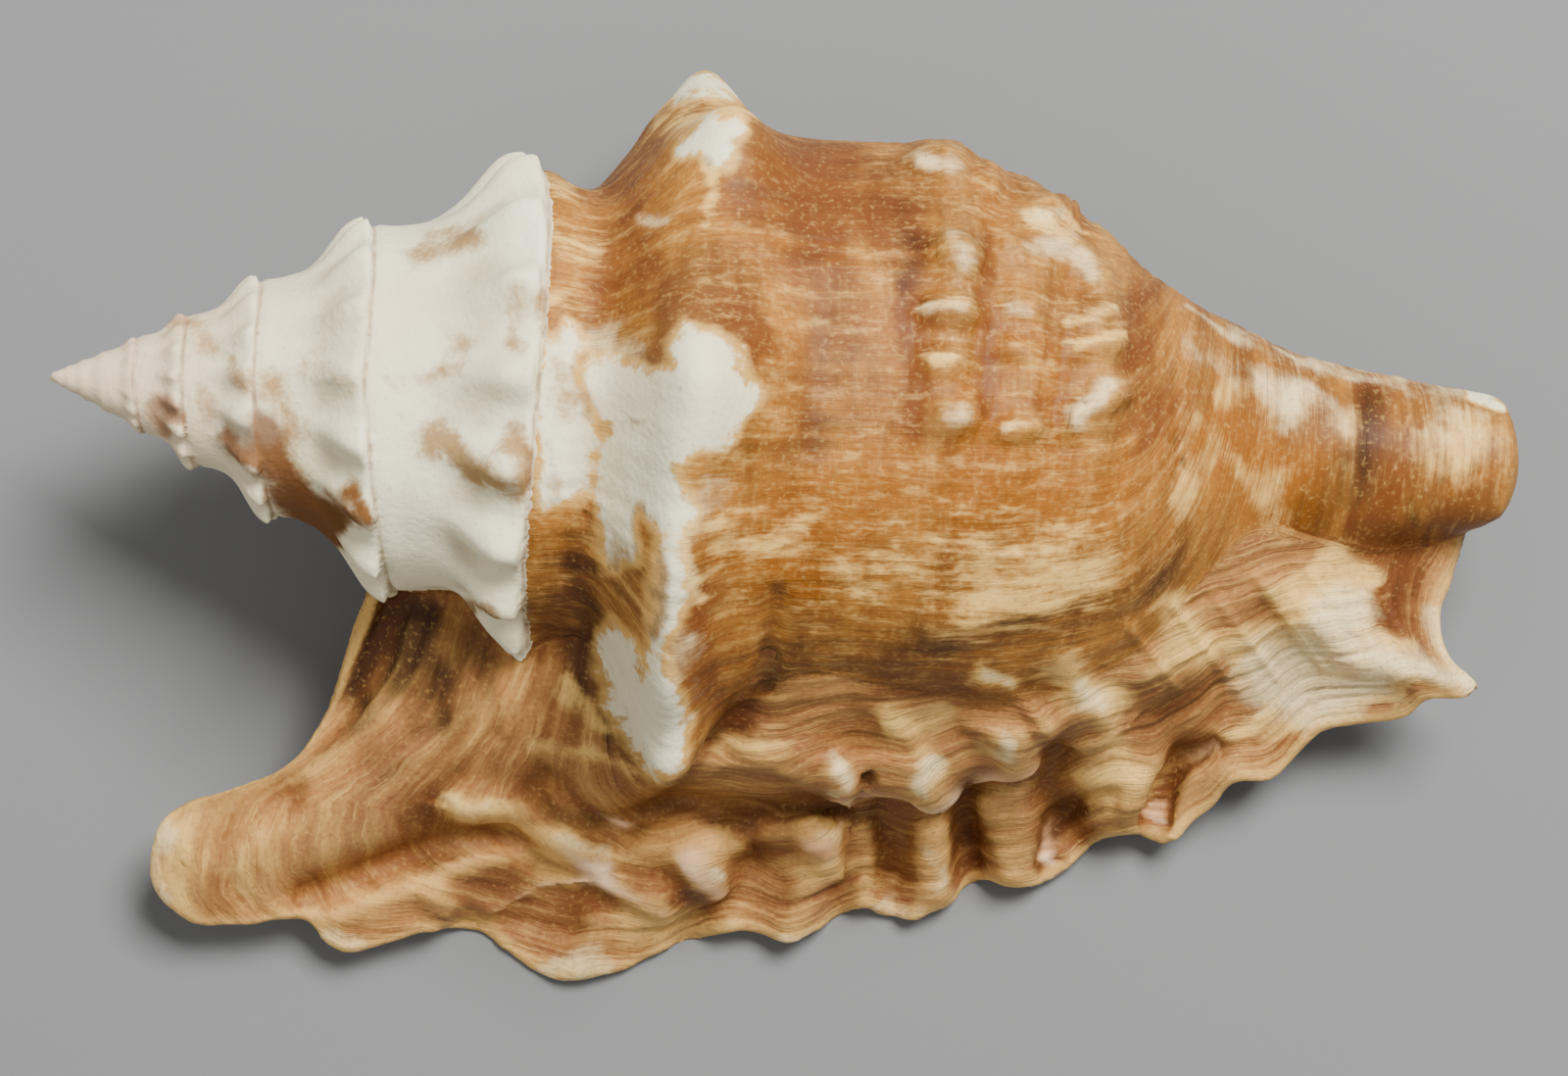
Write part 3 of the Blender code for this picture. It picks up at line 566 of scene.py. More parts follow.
def plain_object(name, points, faces):
    """A mesh object in millimetres."""
    mesh = bpy.data.meshes.new(name)
    mesh.from_pydata(np.asarray(points).tolist(), [], faces)
    made = bpy.data.objects.new(name, mesh)
    bpy.context.scene.collection.objects.link(made)
    return made


def with_modifiers(thing, *steps):
    """Applies modifiers to an object: each step is a type and its settings."""
    for kind, settings in steps:
        modifier = thing.modifiers.new(kind, kind)
        for name, value in settings.items():
            setattr(modifier, name, value)
    worked_out = thing.evaluated_get(bpy.context.evaluated_depsgraph_get())
    shape = bpy.data.meshes.new_from_object(worked_out)
    thing.modifiers.clear()
    thing.data = shape


def coordinates(mesh):
    """The mesh's points as an array."""
    flat = np.empty(3 * len(mesh.vertices))
    mesh.vertices.foreach_get("co", flat)
    return flat.reshape(-1, 3)


def grow_shell():
    """The core and the lip as one skin with the hollow cut out."""
    first = len(core[0])
    lip_faces = [tuple(corner + first for corner in face) for face in lip[1]]
    skin = plain_object("shell_surface", np.vstack([core[0], lip[0]]), core[1] + lip_faces)
    cutter = plain_object("cutter", *hollow_cutter)
    remesh = ("REMESH", {"mode": "VOXEL", "voxel_size": SKIN_STEP})
    cut = ("BOOLEAN", {"operation": "DIFFERENCE", "object": cutter, "solver": "MANIFOLD"})
    with_modifiers(skin, remesh)
    with_modifiers(skin, cut, remesh)
    bpy.data.objects.remove(cutter)
    return skin


shell = grow_shell()
print("the skin has", len(shell.data.vertices), "points")

# %% [markdown]
# Most of what follows asks where a point of the skin lies: at which place of the lip, or at which pixel
# of the picture. The camera looks straight down, so a point's pixel depends on its height a little. A
# search tree over the lip's back finds the nearest place on it.

# %% Places on the lip and in the picture
CAMERA_HEIGHT = 400.0
MIDDLE_HEIGHT = 23.0
PIXEL_MM = 0.0935
FRAME_PIXELS = 1600
PICTURE_MIDDLE = (800, 549)
SMALL_CLOUD, LARGE_CLOUD = 4.0, 9.0


def tree_of_lip():
    """A search tree over the lip's back, to read where on the lip a point is."""
    index = np.arange(RIBS * STEPS).reshape(RIBS, STEPS)
    quads = np.stack([index[:-1, :-1], index[:-1, 1:], index[1:, 1:], index[1:, :-1]], axis=-1)
    return BVHTree.FromPolygons(lip_back.reshape(-1, 3).tolist(), quads.reshape(-1, 4).tolist())


def share_along(offset, side):
    """How far along a side an offset reaches, from 0 to 1."""
    return min(max(offset @ side / max(side @ side, 1e-9), 0.0), 1.0)


def seen_on_lip(points):
    """For each point: u and v on the lip, and how far it is from the lip's back."""
    u, v, away = (np.empty(len(points)) for _ in range(3))
    for n, point in enumerate(points.tolist()):
        place, _, face, away[n] = lip_tree.find_nearest(point)
        i, j = divmod(face, STEPS - 1)
        corner = lip_back[i, j]
        offset = np.array(place) - corner
        u[n] = (i + share_along(offset, lip_back[i + 1, j] - corner)) / (RIBS - 1) * (len(LIP_MARGIN) - 1)
        v[n] = (j + share_along(offset, lip_back[i, j + 1] - corner)) / (STEPS - 1)
    return u, v, away


def seen_from_above(points):
    """Where points appear in the picture, in pixels."""
    reach = (CAMERA_HEIGHT - MIDDLE_HEIGHT) / (CAMERA_HEIGHT - points[:, 2]) / PIXEL_MM
    return PICTURE_MIDDLE[0] + points[:, 0] * reach, PICTURE_MIDDLE[1] - points[:, 1] * reach


def cloudy(points, size, seed=0.0):
    """Soft noise between -1 and 1, with clouds of one size in millimetres."""
    return np.array([noise.noise((x / size + seed, y / size, z / size)) for x, y, z in points.tolist()])


lip_tree = tree_of_lip()
apex_pixel = [round(side.item()) for side in seen_from_above(APEX[None])]
print("the apex is seen at pixel", apex_pixel)

# %% [markdown]
# The remesh leaves each point within a fraction of a step of the true surface. Points on the core are
# moved out or in to its exact radius, which brings the sutures and threads back. The crease where the
# lip leaves the whorl is then rubbed smooth, because on a shell one grows out of the other. Only the
# fin below the last knob keeps its sharp foot.

# %% Back onto the true surface
ON_CORE = 0.45
OFF_LIP = 0.4
LIP_ROOT = 0.05
CORE_PART = (0.6, SHELL_LENGTH - 2.5)
CREASE_REACH = 3.4
CREASE_REACH_AT_CANAL = 2.6
CREASE_WIDENS = (104.0, 116.0)
CREASE_ROUNDS = 45
CREASE_STARTS = 34.0
CREASE_ANGLES = (30.0, 115.0)
FIN = [(672, 560), (672, 700), (676, 792)]
FIN_WIDTH = 30.0
FIN_KEPT = 0.9
SOFTEN_STEP = 0.6


def soften(mesh, points, weight, rounds):
    """Moves points towards the middle of their neighbours, as far as their weight says."""
    edges = np.empty(2 * len(mesh.edges), int)
    mesh.edges.foreach_get("vertices", edges)
    one, two = edges.reshape(-1, 2).T
    count = np.bincount(one, minlength=len(points)) + np.bincount(two, minlength=len(points))
    for _ in range(rounds):
        for side in range(3):
            line = points[:, side]
            total = np.bincount(one, line[two], len(points)) + np.bincount(two, line[one], len(points))
            points[:, side] = line + SOFTEN_STEP * weight * (total / count - line)


def refine(skin):
    """Moves the core's points to their exact radius and rubs the lip's crease smooth."""
    points = coordinates(skin.data)
    a, angle, radius = seen_round_axis(points)
    off = radius - core_radius(a, angle)
    _, v, lip_off = seen_on_lip(points)
    near = (np.abs(off) < ON_CORE) & ((lip_off > OFF_LIP) | (v < LIP_ROOT))
    near &= (a > CORE_PART[0]) & (a < CORE_PART[1])
    out = points - axis_point(a)
    points[near] += (out / np.maximum(radius, 0.1)[:, None] * -off[:, None])[near]
    x, y = seen_from_above(points)
    reach = CREASE_REACH + CREASE_REACH_AT_CANAL * ease(a, *CREASE_WIDENS)
    crease = 1 - ease(np.maximum(np.abs(off), lip_off) / reach, 0.5, 1.0)
    crease *= 1 - FIN_KEPT * hump(distance_to_line(x, y, FIN), 0, FIN_WIDTH)
    crease *= (a > CREASE_STARTS) & (angle > CREASE_ANGLES[0]) & (angle < CREASE_ANGLES[1])
    soften(skin.data, points, crease, CREASE_ROUNDS)
    skin.data.vertices.foreach_set("co", points.ravel())
    skin.data.update()
    print("moved", int(near.sum()), "points of the core, softened", int((crease > 0.1).sum()))


refine(shell)

# %% [markdown]
# Then the relief that is this shell's own: cream nodules on the cords, the scalloped ledge along the
# lip, crests, hollows and a small hole. Each is a stroke seen from above, in picture pixels of 0.0935
# mm. It has one width above the stroke and one below, so that a ledge can rise gently and drop
# sharply. Strokes run from left to right.

# %% The relief of this shell
# height in millimetres, width above, width below, points
RELIEF = [
    (1.5, 14, 20, [(467, 818), (521, 820), (567, 848), (620, 879)]),
    (-1.1, 18, 16, [(556, 800), (600, 832), (630, 856)]),
    (-0.9, 14, 18, [(315, 915), (370, 895), (430, 872), (520, 852)]),
    (0.9, 16, 14, [(345, 935), (390, 912), (430, 905), (455, 925)]),
    (1.4, 18, 16, [(506, 925), (559, 898), (617, 898), (674, 922)]),
    (-0.8, 16, 14, [(480, 950), (540, 940), (580, 950)]),
    (1.5, 28, 12, [(886, 794), (930, 798), (953, 812), (979, 785), (1024, 780), (1040, 776),
     (1051, 754), (1073, 740), (1095, 745), (1109, 752), (1140, 735)]),
    (1.2, 28, 14, [(700, 788), (740, 768), (790, 772), (845, 800)]),
    (1.2, 8, 24, [(636, 865), (690, 862), (747, 857), (780, 845), (814, 838), (863, 838)]),
    (-1.1, 14, 12, [(640, 845), (690, 822), (740, 832), (790, 830), (850, 832)]),
    (1.2, 17, 17, [(852, 776), (864, 810)]), (0.9, 17, 17, [(938, 778), (950, 804)]),
    (0.9, 15, 15, [(1020, 744), (1034, 768)]), (1.0, 18, 18, [(1098, 697), (1118, 722)]),
    (0.7, 11, 11, [(905, 735), (925, 750)]), (0.7, 10, 10, [(1002, 700), (1028, 702)]),
    (0.6, 10, 10, [(990, 735), (1010, 742)]), (0.7, 10, 10, [(1046, 715), (1060, 730)]),
    (1.5, 20, 20, [(712, 884), (726, 900)]), (1.2, 17, 17, [(834, 858), (846, 885)]),
    (1.2, 16, 16, [(948, 846), (956, 910)]), (-1.6, 5, 5, [(880, 786), (888, 786)]),
    (-1.0, 12, 12, [(900, 830), (905, 900)]), (1.0, 16, 16, [(1010, 820), (1030, 890)]),
    (-1.0, 12, 12, [(985, 830), (990, 890)]),
    (-1.6, 14, 14, [(1074, 882), (1080, 840), (1105, 815), (1130, 812)]),
    (-1.8, 13, 15, [(1178, 840), (1184, 800), (1204, 777), (1240, 767)]),
    (1.3, 22, 22, [(1113, 805), (1145, 815), (1172, 780)]),
    (0.35, 5, 5, [(1196, 619), (1221, 654), (1261, 701)]),
    (0.8, 16, 16, [(1296, 597), (1386, 676), (1457, 683), (1496, 708)]),
    (1.6, 19, 19, [(944, 164), (964, 166)]), (1.8, 19, 20, [(972, 256), (982, 264)]),
    (1.3, 14, 16, [(954, 316), (980, 316)]), (1.0, 13, 14, [(954, 366), (974, 366)]),
    (1.7, 18, 18, [(972, 424), (984, 422)]), (1.1, 13, 14, [(1032, 308), (1046, 312)]),
    (0.9, 12, 13, [(1030, 356), (1044, 360)]), (1.2, 13, 14, [(1028, 438), (1052, 434)]),
    (1.0, 14, 14, [(1006, 178), (1010, 190)]), (1.0, 13, 14, [(1026, 250), (1040, 256)]),
    (1.5, 16, 16, [(1068, 214), (1088, 214)]), (1.3, 14, 15, [(1082, 252), (1104, 264), (1120, 284)]),
    (1.1, 13, 13, [(1092, 321), (1120, 318)]), (1.0, 12, 12, [(1102, 356), (1130, 354)]),
    (1.6, 15, 16, [(1092, 426), (1136, 402)]),
    (-0.9, 14, 14, [(700, 790), (735, 752), (776, 706), (794, 613)]),
    (-0.4, 24, 24, [(838, 310), (832, 450)]), (0.6, 16, 16, [(950, 640), (1060, 620)]),
    (0.3, 5, 5, [(1150, 640), (1200, 700)]), (0.3, 5, 5, [(1235, 606), (1300, 690)]),
    (0.3, 5, 5, [(1280, 590), (1350, 680)]), (0.3, 5, 5, [(1325, 575), (1395, 660)]),
    (-0.5, 8, 8, [(1202, 452), (1204, 484)]),
]


def relief_height(x, y):
    """The relief under points seen from above, in millimetres."""
    height = np.zeros(x.shape)
    for rise, above, below, line in RELIEF:
        nearest, sign = np.full(x.shape, np.inf), np.ones(x.shape)
        for (x0, y0), (x1, y1) in zip(line, line[1:]):
            dx, dy = x1 - x0, y1 - y0
            t = np.clip(((x - x0) * dx + (y - y0) * dy) / (dx * dx + dy * dy), 0, 1)
            away = np.hypot(x - x0 - t * dx, y - y0 - t * dy)
            closer = away < nearest
            nearest = np.where(closer, away, nearest)
            sign = np.where(closer, np.sign(dx * (y - y0) - dy * (x - x0)), sign)
        height += rise * hump(nearest, 0, np.where(sign > 0, below, above))
    return height


print("the relief has", len(RELIEF), "strokes")

# %% [markdown]
# A shell is built at the edge of its lip, so its colour and its fine ridges follow old edges, the
# growth lines. Over the body they run along the axis, round the canal they are rings, and over the lip
# they run like its margin. The back lobe needs its own rule: there they come down from the spire and
# turn a corner. One field counts millimetres across them everywhere.

# %% Growth lines
# Where the back lobe ends to the left at heights down the picture, and below at places across it.
LOBE_LEFT = [(560, 400), (620, 386), (680, 360), (740, 310), (790, 225), (820, 165), (860, 150)]
LOBE_FOOT = [(150, 925), (300, 945), (350, 972), (430, 960), (520, 985), (585, 1006), (660, 985),
             (720, 955)]
LOBE_CORNER = (660, 790)
LOBE_START = 47.0
LOBE_SPREAD = (22.0, 17.0)
LOBE_TURN = 0.5
LOBE_ENDS = (600, 700)
DEGREE_OF_BODY = 0.47
BODY_TO_CANAL = (96.0, 118.0)
CANAL_LINES_START = 75.0
LIP_LINE_START = 24.0
LIP_LINE_SPREAD = 38.0


def lobe_growth(x, y):
    """Growth lines of the back lobe: down from the spire, then round a corner along the margin."""
    to_left = (LOBE_CORNER[0] - x) / (LOBE_CORNER[0] - np.interp(y, *zip(*LOBE_LEFT)))
    to_foot = (y - LOBE_CORNER[1]) / (np.interp(x, *zip(*LOBE_FOOT)) - LOBE_CORNER[1])
    parts = np.exp(LOBE_TURN * LOBE_SPREAD[0] * to_left) + np.exp(LOBE_TURN * LOBE_SPREAD[1] * to_foot)
    return LOBE_START + np.log(parts) / LOBE_TURN


def growth_lines(points, a, angle, v, on_lip):
    """Millimetres across the growth lines of body, canal and lip."""
    body = 1 - ease(a, *BODY_TO_CANAL)
    across_core = body * DEGREE_OF_BODY * angle + (1 - body) * (a - CANAL_LINES_START)
    x, y = seen_from_above(points)
    across_lip = LIP_LINE_START + LIP_LINE_SPREAD * v
    across_lip += (lobe_growth(x, y) - across_lip) * (1 - ease(x, *LOBE_ENDS))
    return across_core + (across_lip - across_core) * on_lip


print("a degree round the body counts as", DEGREE_OF_BODY, "mm across the growth lines")

# %% [markdown]
# The inside of a living shell is kept smooth and glossy, and so is the belly that the animal glazes
# over. A point belongs to it when it lies deeper than the skin, on the glazed part of the coil, or on
# the roof of the aperture. The last is told by its normal, which faces down or towards the axis.

# %% Inside and outside
SKIN_DEPTH = 1.2
RELIEF_ROOM = 2.4
SOFT_EDGE = 0.7
FACES_UP = (-0.1, 0.3)
FACES_DOWN = (0.1, 0.4)
FACES_AXIS = (0.4, 0.7)
FACES_SIDEWAYS = (-0.2, 0.1)
GLAZE_ROUND = (92.0, 100.0, 168.0, 200.0)
GLAZE_OFF_LIP = (1.2, 1.9)
GLAZE_ALONG = (44.0, 52.0, 128.0, 136.0)
GLAZE_SWAY = 9.0
ROOF_ROUND = (64.0, 76.0, 150.0, 180.0)
ROOF_ALONG = (52.0, 58.0, 128.0, 136.0)


def normals_of(mesh):
    """The mesh's point normals as an array."""
    flat = np.empty(3 * len(mesh.vertices))
    mesh.vertices.foreach_get("normal", flat)
    return flat.reshape(-1, 3)


def lined_inside(points, normals, a, angle, core_off, lip_off):
    """1 on the smooth side of the shell and 0 on its rough back."""
    up = normals[:, 2]
    deep = SKIN_DEPTH + RELIEF_ROOM * ease(up, *FACES_UP)
    below_skin = ease(np.minimum(core_off, lip_off) - deep, 0.0, SOFT_EDGE)
    turned = angle % 360 + GLAZE_SWAY * cloudy(points, LARGE_CLOUD)
    glazed = between(turned, *GLAZE_ROUND) * ease(lip_off, *GLAZE_OFF_LIP) * between(a, *GLAZE_ALONG)
    to_axis = normals[:, 1] * np.sin(np.radians(angle)) - up * np.cos(np.radians(angle))
    roof = np.maximum(ease(-up, *FACES_DOWN), ease(to_axis, *FACES_AXIS) * ease(-up, *FACES_SIDEWAYS))
    roof *= between(turned, *ROOF_ROUND) * between(a, *ROOF_ALONG)
    return np.maximum(below_skin, np.maximum(glazed, roof))


print("the belly is glazed from", GLAZE_ROUND[0], "to", GLAZE_ROUND[-1], "degrees round the axis")

# %% [markdown]
# With these, each point gets its fields: numbers that say what it is a part of. The relief needs some
# of them now, and the material needs them all later.

# %% What each point belongs to
SPIRE_ENDS, SPIRE_EDGE = 7.02, 0.012
YOUNG_ENDS, YOUNG_EDGE = 8.02, 0.05
YOUNG_FADES = (-178.0, -105.0)
MARGIN_WIDTH = 2.5
APEX_TINT = (6.0, 26.0)
BACK_ENDS = (100, 125)
NEARER_LIP = (0.3, 0.7)
LIP_BEGINS = (0.02, 0.12)


def growth_places(points, normals):
    """The fields that follow from how the shell grew."""
    a, angle, radius = seen_round_axis(points)
    core_off = np.abs(radius - core_radius(a, angle))
    u, v, lip_off = seen_on_lip(points)
    on_lip = ease(core_off / (core_off + lip_off + 1e-6), *NEARER_LIP) * ease(v, *LIP_BEGINS)
    inner = lined_inside(points, normals, a, angle, core_off, lip_off)
    on_core = (1 - on_lip) * (1 - inner)
    turns = whorl_number(a, angle)
    young = (1 - ease(angle, *YOUNG_FADES)) * ease(YOUNG_ENDS - turns, 0.0, YOUNG_EDGE)
    to_margin = (1 - v) * np.interp(u, lip_u[:, 0], breadth[:, 0])
    return {
        "growth": growth_lines(points, a, angle, v, on_lip),
        "lip": on_lip,
        "inner": inner,
        "margin": on_lip * np.clip(1 - to_margin / MARGIN_WIDTH, 0, 1),
        "spire": np.maximum(ease(SPIRE_ENDS - turns, 0.0, SPIRE_EDGE), young) * on_core,
        "apex": 1 - ease(a, *APEX_TINT),
        "suture": (suture_groove(a, turns) / SUTURE_DEPTH) * on_core,
        "cord": np.clip(cords(a, angle), 0, 1) * on_core,
        "along": a,
    }


def upper_side(normals, angle, places, low, high):
    """1 where the picture shows the shell's back, and 0 inside and below."""
    faces_up = ease(normals[:, 2], low, high) * (1 - places["inner"])
    return faces_up * np.maximum(places["lip"], 1 - ease(np.abs(angle), *BACK_ENDS))


# %% [markdown]
# Now the relief and the fine growth ridges are pushed out of the skin along its normals. The ridges
# are noise squeezed across the growth lines. What would lie below the table is pressed level, as a
# shell's resting spots are worn, and the mesh is thinned to a size that is easy to keep.

# %% Carving
GROWTH_RIDGE, LIP_RIDGE = 0.10, 0.30
RIDGE_SQUEEZE = 0.09
RIDGE_SIZES = (13.0, 6.0)
WORN_UNEVENNESS = 0.22
UNEVENNESS_SIZE = 5.0
RELIEF_FACES = (0.0, 0.35)
SMOOTH_APEX = (1.0, 8.0)
REST_HEIGHT = 0.6
TRIANGLES = 196000


def carve(skin):
    """Adds the relief and the growth ridges, levels the resting spots and thins the mesh."""
    points = coordinates(skin.data)
    normals = normals_of(skin.data)
    places = growth_places(points, normals)
    a, angle, _ = seen_round_axis(points)
    height = relief_height(*seen_from_above(points)) * upper_side(normals, angle, places, *RELIEF_FACES)
    squeezed = np.stack([places["growth"] / RIDGE_SQUEEZE, points[:, 0], points[:, 1]], axis=1)
    ridges = cloudy(squeezed, RIDGE_SIZES[0]) + 0.5 * cloudy(squeezed, RIDGE_SIZES[1], 5.0)
    ridges *= (1 - places["inner"]) * (1 - places["spire"])
    height += ridges * (GROWTH_RIDGE + (LIP_RIDGE - GROWTH_RIDGE) * places["lip"])
    height += WORN_UNEVENNESS * cloudy(points, UNEVENNESS_SIZE) * (1 - places["inner"])
    height *= ease(a, *SMOOTH_APEX)
    points += normals * height[:, None]
    points[:, 2] = np.maximum(points[:, 2], REST_HEIGHT)
    skin.data.vertices.foreach_set("co", points.ravel())
    skin.data.update()
    faces = sum(len(face.vertices) - 2 for face in skin.data.polygons)
    with_modifiers(skin, ("DECIMATE", {"ratio": TRIANGLES / faces}), ("TRIANGULATE", {}))
    print("from", faces, "to", len(skin.data.polygons), "triangles")


carve(shell)

# %% [markdown]
# The surface is then set into the solid's box, so that it is exactly as large as the solid. The mesh
# itself is moved only at the end, because the painting still works in millimetres.

# %% Into the frame
grown = coordinates(shell.data)
grown_low, grown_high = grown.min(axis=0), grown.max(axis=0)
fit = (solid_high - solid_low) / (grown_high - grown_low)
shift = (solid_high + solid_low) / 2 - (grown_high + grown_low) / 2 * fit
print("scale to the solid:", (fit / MM).round(4))


def to_frame(points):
    """Millimetres of the design into metres of the frame."""
    return np.asarray(points) * fit + shift


# %% [markdown]
# The big markings are this shell's own. Each is laid down as an outline or a stroke, seen from above,
# in the same picture pixels. Where the outer layer is worn through to chalky lime, the marking has an
# edge: its field is 1 inside, falls through 0.5 at the edge and ends at 0, so that the material can
# fray the edge later.

# %% Chalky worn patches
EDGE_SOFTNESS = 22
CHALK_PATCHES = [
    [(601, 374), (626, 366), (651, 377), (673, 381), (687, 374), (690, 352), (705, 334), (730, 338),
     (748, 359), (776, 406), (759, 427), (751, 445), (709, 456), (691, 474), (701, 502), (705, 527),
     (690, 542), (673, 541), (659, 520), (648, 527), (646, 574), (619, 579), (614, 530), (614, 484),
     (616, 441), (598, 402), (592, 381)],
    [(676, 545), (692, 548), (697, 600), (687, 645), (676, 663), (701, 730), (694, 784), (676, 795),
     (662, 788), (648, 763), (626, 730), (616, 690), (612, 656), (622, 636), (645, 650), (655, 699),
     (666, 645), (666, 591)],
    [(552, 345), (575, 350), (587, 331), (600, 350), (588, 378), (600, 410), (606, 450), (606, 500),
     (584, 513), (552, 508)],
    [(720, 117), (745, 122), (760, 135), (750, 145), (748, 158), (742, 172), (724, 170), (716, 156),
     (695, 156), (691, 146), (703, 129)],
    [(660, 98), (690, 74), (716, 74), (760, 100), (735, 96), (715, 92), (700, 96)],
]
# half width, points
CHALK_STROKES = [(6, [(1500, 404), (1515, 408), (1530, 414)])]


def within(x, y, outline):
    """Whether points lie inside an outline."""
    inside = np.zeros(x.shape, bool)
    for (x0, y0), (x1, y1) in zip(outline, outline[1:] + outline[:1]):
        crosses = (y0 > y) != (y1 > y)
        inside ^= crosses & (x < (x1 - x0) * (y - y0) / (y1 - y0 + 1e-9) + x0)
    return inside


def hard_marking(x, y, patches, strokes):
    """The field of a marking with an edge."""
    field = np.zeros(x.shape)
    for outline in patches:
        edge = distance_to_line(x, y, outline + outline[:1])
        signed = np.where(within(x, y, outline), edge, -edge)
        field = np.maximum(field, np.clip(0.5 + signed / (2 * EDGE_SOFTNESS), 0, 1))
    for half_width, line in strokes:
        field = np.maximum(field, np.clip(1 - 0.5 * distance_to_line(x, y, line) / half_width, 0, 1))
    return field


print("there are", len(CHALK_PATCHES), "chalky patches")

# %% [markdown]
# Colours that the shell laid down itself have no edge. A soft marking is a stroke with an amount, and
# it fades out on both sides like breath on glass. Where strokes overlap, what is left bare is
# multiplied, so that they never add up to more than 1. The first table holds the tan and brown stains
# on the worn lime.

# %% Stains
# amount, half width, points
STAIN = [
    (0.75, 16, [(428, 262), (455, 246), (488, 232)]), (0.65, 14, [(530, 296), (528, 345)]),
    (0.55, 14, [(458, 385), (480, 350)]), (0.5, 6, [(402, 385), (450, 382)]),
    (0.95, 24, [(450, 450), (480, 480), (500, 490)]), (0.8, 13, [(530, 440), (530, 510)]),
    (0.75, 22, [(285, 395), (300, 430)]), (0.98, 26, [(282, 470), (312, 515), (338, 535)]),
    (0.85, 15, [(355, 495), (368, 525)]), (0.75, 15, [(185, 330), (215, 345)]),
    (0.65, 14, [(240, 365), (250, 400)]), (0.85, 9, [(168, 408), (182, 424)]),
    (0.8, 10, [(234, 455), (256, 468)]), (0.45, 18, [(320, 375), (360, 390)]),
    (0.55, 12, [(210, 395), (218, 430)]), (0.7, 7, [(410, 612), (450, 614), (500, 622)]),
    (0.6, 12, [(560, 365), (575, 420)]), (0.85, 12, [(585, 380), (596, 420)]),
    (0.6, 6, [(634, 422), (648, 426)]), (0.85, 26, [(628, 590), (640, 625)]),
    (0.9, 12, [(655, 530), (664, 585)]), (0.7, 14, [(565, 330), (560, 300)]),
    (0.6, 12, [(720, 175), (738, 200)]), (0.6, 8, [(700, 90), (740, 100)]),
    (0.8, 12, [(664, 600), (666, 650)]), (0.5, 10, [(560, 450), (570, 500)]),
    (0.5, 10, [(1330, 420), (1350, 400)]), (0.5, 10, [(1270, 385), (1290, 410)]),
]


def soft_marking(x, y, strokes):
    """The field of a marking that fades out."""
    bare = np.ones(x.shape)
    for amount, half_width, line in strokes:
        bare *= 1 - amount * hump(distance_to_line(x, y, line), 0, half_width)
    return 1 - bare


print("the stains have", len(STAIN), "strokes")

# %% [markdown]
# Dark brown is painted shade in the valleys beside the keel and between the body and the lip, in the
# folds and in ribbons down the back lobe, and the shell's own colour round a knob, in bands on the
# canal and in pits. Reddish brown lies round the knobs, in bands on the canal, in patches on the lip,
# and in a few old stains of the spire.

# %% Dark zones with painted shade, and reddish zones
# dark brown: painted shade in valleys, folds and down the back lobe, and the shell's own colour
# amount, half width, points
DARK_AND_SHADE = [
    (0.35, 22, [(1385, 410), (1390, 500)]), (0.3, 5, [(1446, 402), (1444, 490)]),
    (0.3, 5, [(1474, 402), (1472, 500)]), (0.3, 30, [(385, 780), (430, 800)]),
    (0.4, 16, [(420, 620), (428, 740)]), (0.35, 16, [(470, 630), (480, 740)]),
    (0.97, 30, [(404, 615), (398, 655), (375, 700)]), (0.7, 20, [(425, 640), (430, 690)]),
    (0.3, 40, [(785, 200), (830, 240)]), (0.3, 24, [(690, 318), (745, 325)]),
    (0.7, 16, [(446, 625), (456, 690), (450, 740)]), (0.55, 22, [(496, 640), (506, 700), (516, 740)]),
    (0.18, 34, [(550, 600), (565, 680), (596, 750)]),
    (0.6, 20, [(598, 550), (600, 640), (612, 710), (640, 768)]), (0.55, 22, [(556, 806), (600, 838)]),
    (0.6, 20, [(654, 832), (690, 815), (735, 822), (750, 845)]),
    (0.5, 18, [(775, 830), (830, 836), (858, 845)]), (0.4, 14, [(800, 795), (835, 800), (850, 815)]),
    (0.4, 14, [(776, 706), (786, 660), (796, 612)]), (0.4, 16, [(698, 785), (730, 757), (768, 725)]),
    (0.36, 26, [(800, 684), (912, 668), (1018, 646), (1122, 613), (1221, 578), (1292, 553), (1339, 526),
     (1377, 480)]),
    (0.35, 24, [(1392, 470), (1400, 400)]), (0.3, 24, [(834, 320), (828, 400), (834, 450)]),
    (0.35, 30, [(765, 462), (830, 465)]), (0.45, 18, [(927, 250), (928, 290)]),
    (0.25, 24, [(860, 180), (920, 220)]), (0.32, 40, [(1150, 712), (1215, 708), (1262, 740)]),
    (0.55, 20, [(1176, 815), (1204, 785), (1228, 775)]),
    (0.5, 18, [(1074, 878), (1085, 838), (1120, 812)]), (0.35, 20, [(985, 838), (1002, 890)]),
    (0.45, 16, [(886, 835), (894, 890)]), (0.3, 20, [(1440, 600), (1425, 640)]),
    (0.5, 12, [(1442, 520), (1450, 548)]), (0.45, 14, [(580, 372), (590, 410)]),
    (0.32, 24, [(505, 925), (560, 905), (630, 908), (668, 935)]), (0.35, 18, [(335, 930), (370, 950)]),
    (0.9, 6, [(880, 786), (888, 786)]), (0.3, 36, [(290, 780), (350, 740)]),
    (0.3, 30, [(440, 890), (520, 870)]), (0.3, 20, [(1004, 790), (1070, 800)]),
    (0.4, 24, [(600, 620), (600, 700)]), (0.95, 2, [(1203, 455), (1204, 458)]),
    (0.95, 2, [(1203, 467), (1204, 470)]), (0.95, 2, [(1203, 479), (1204, 482)]),
]
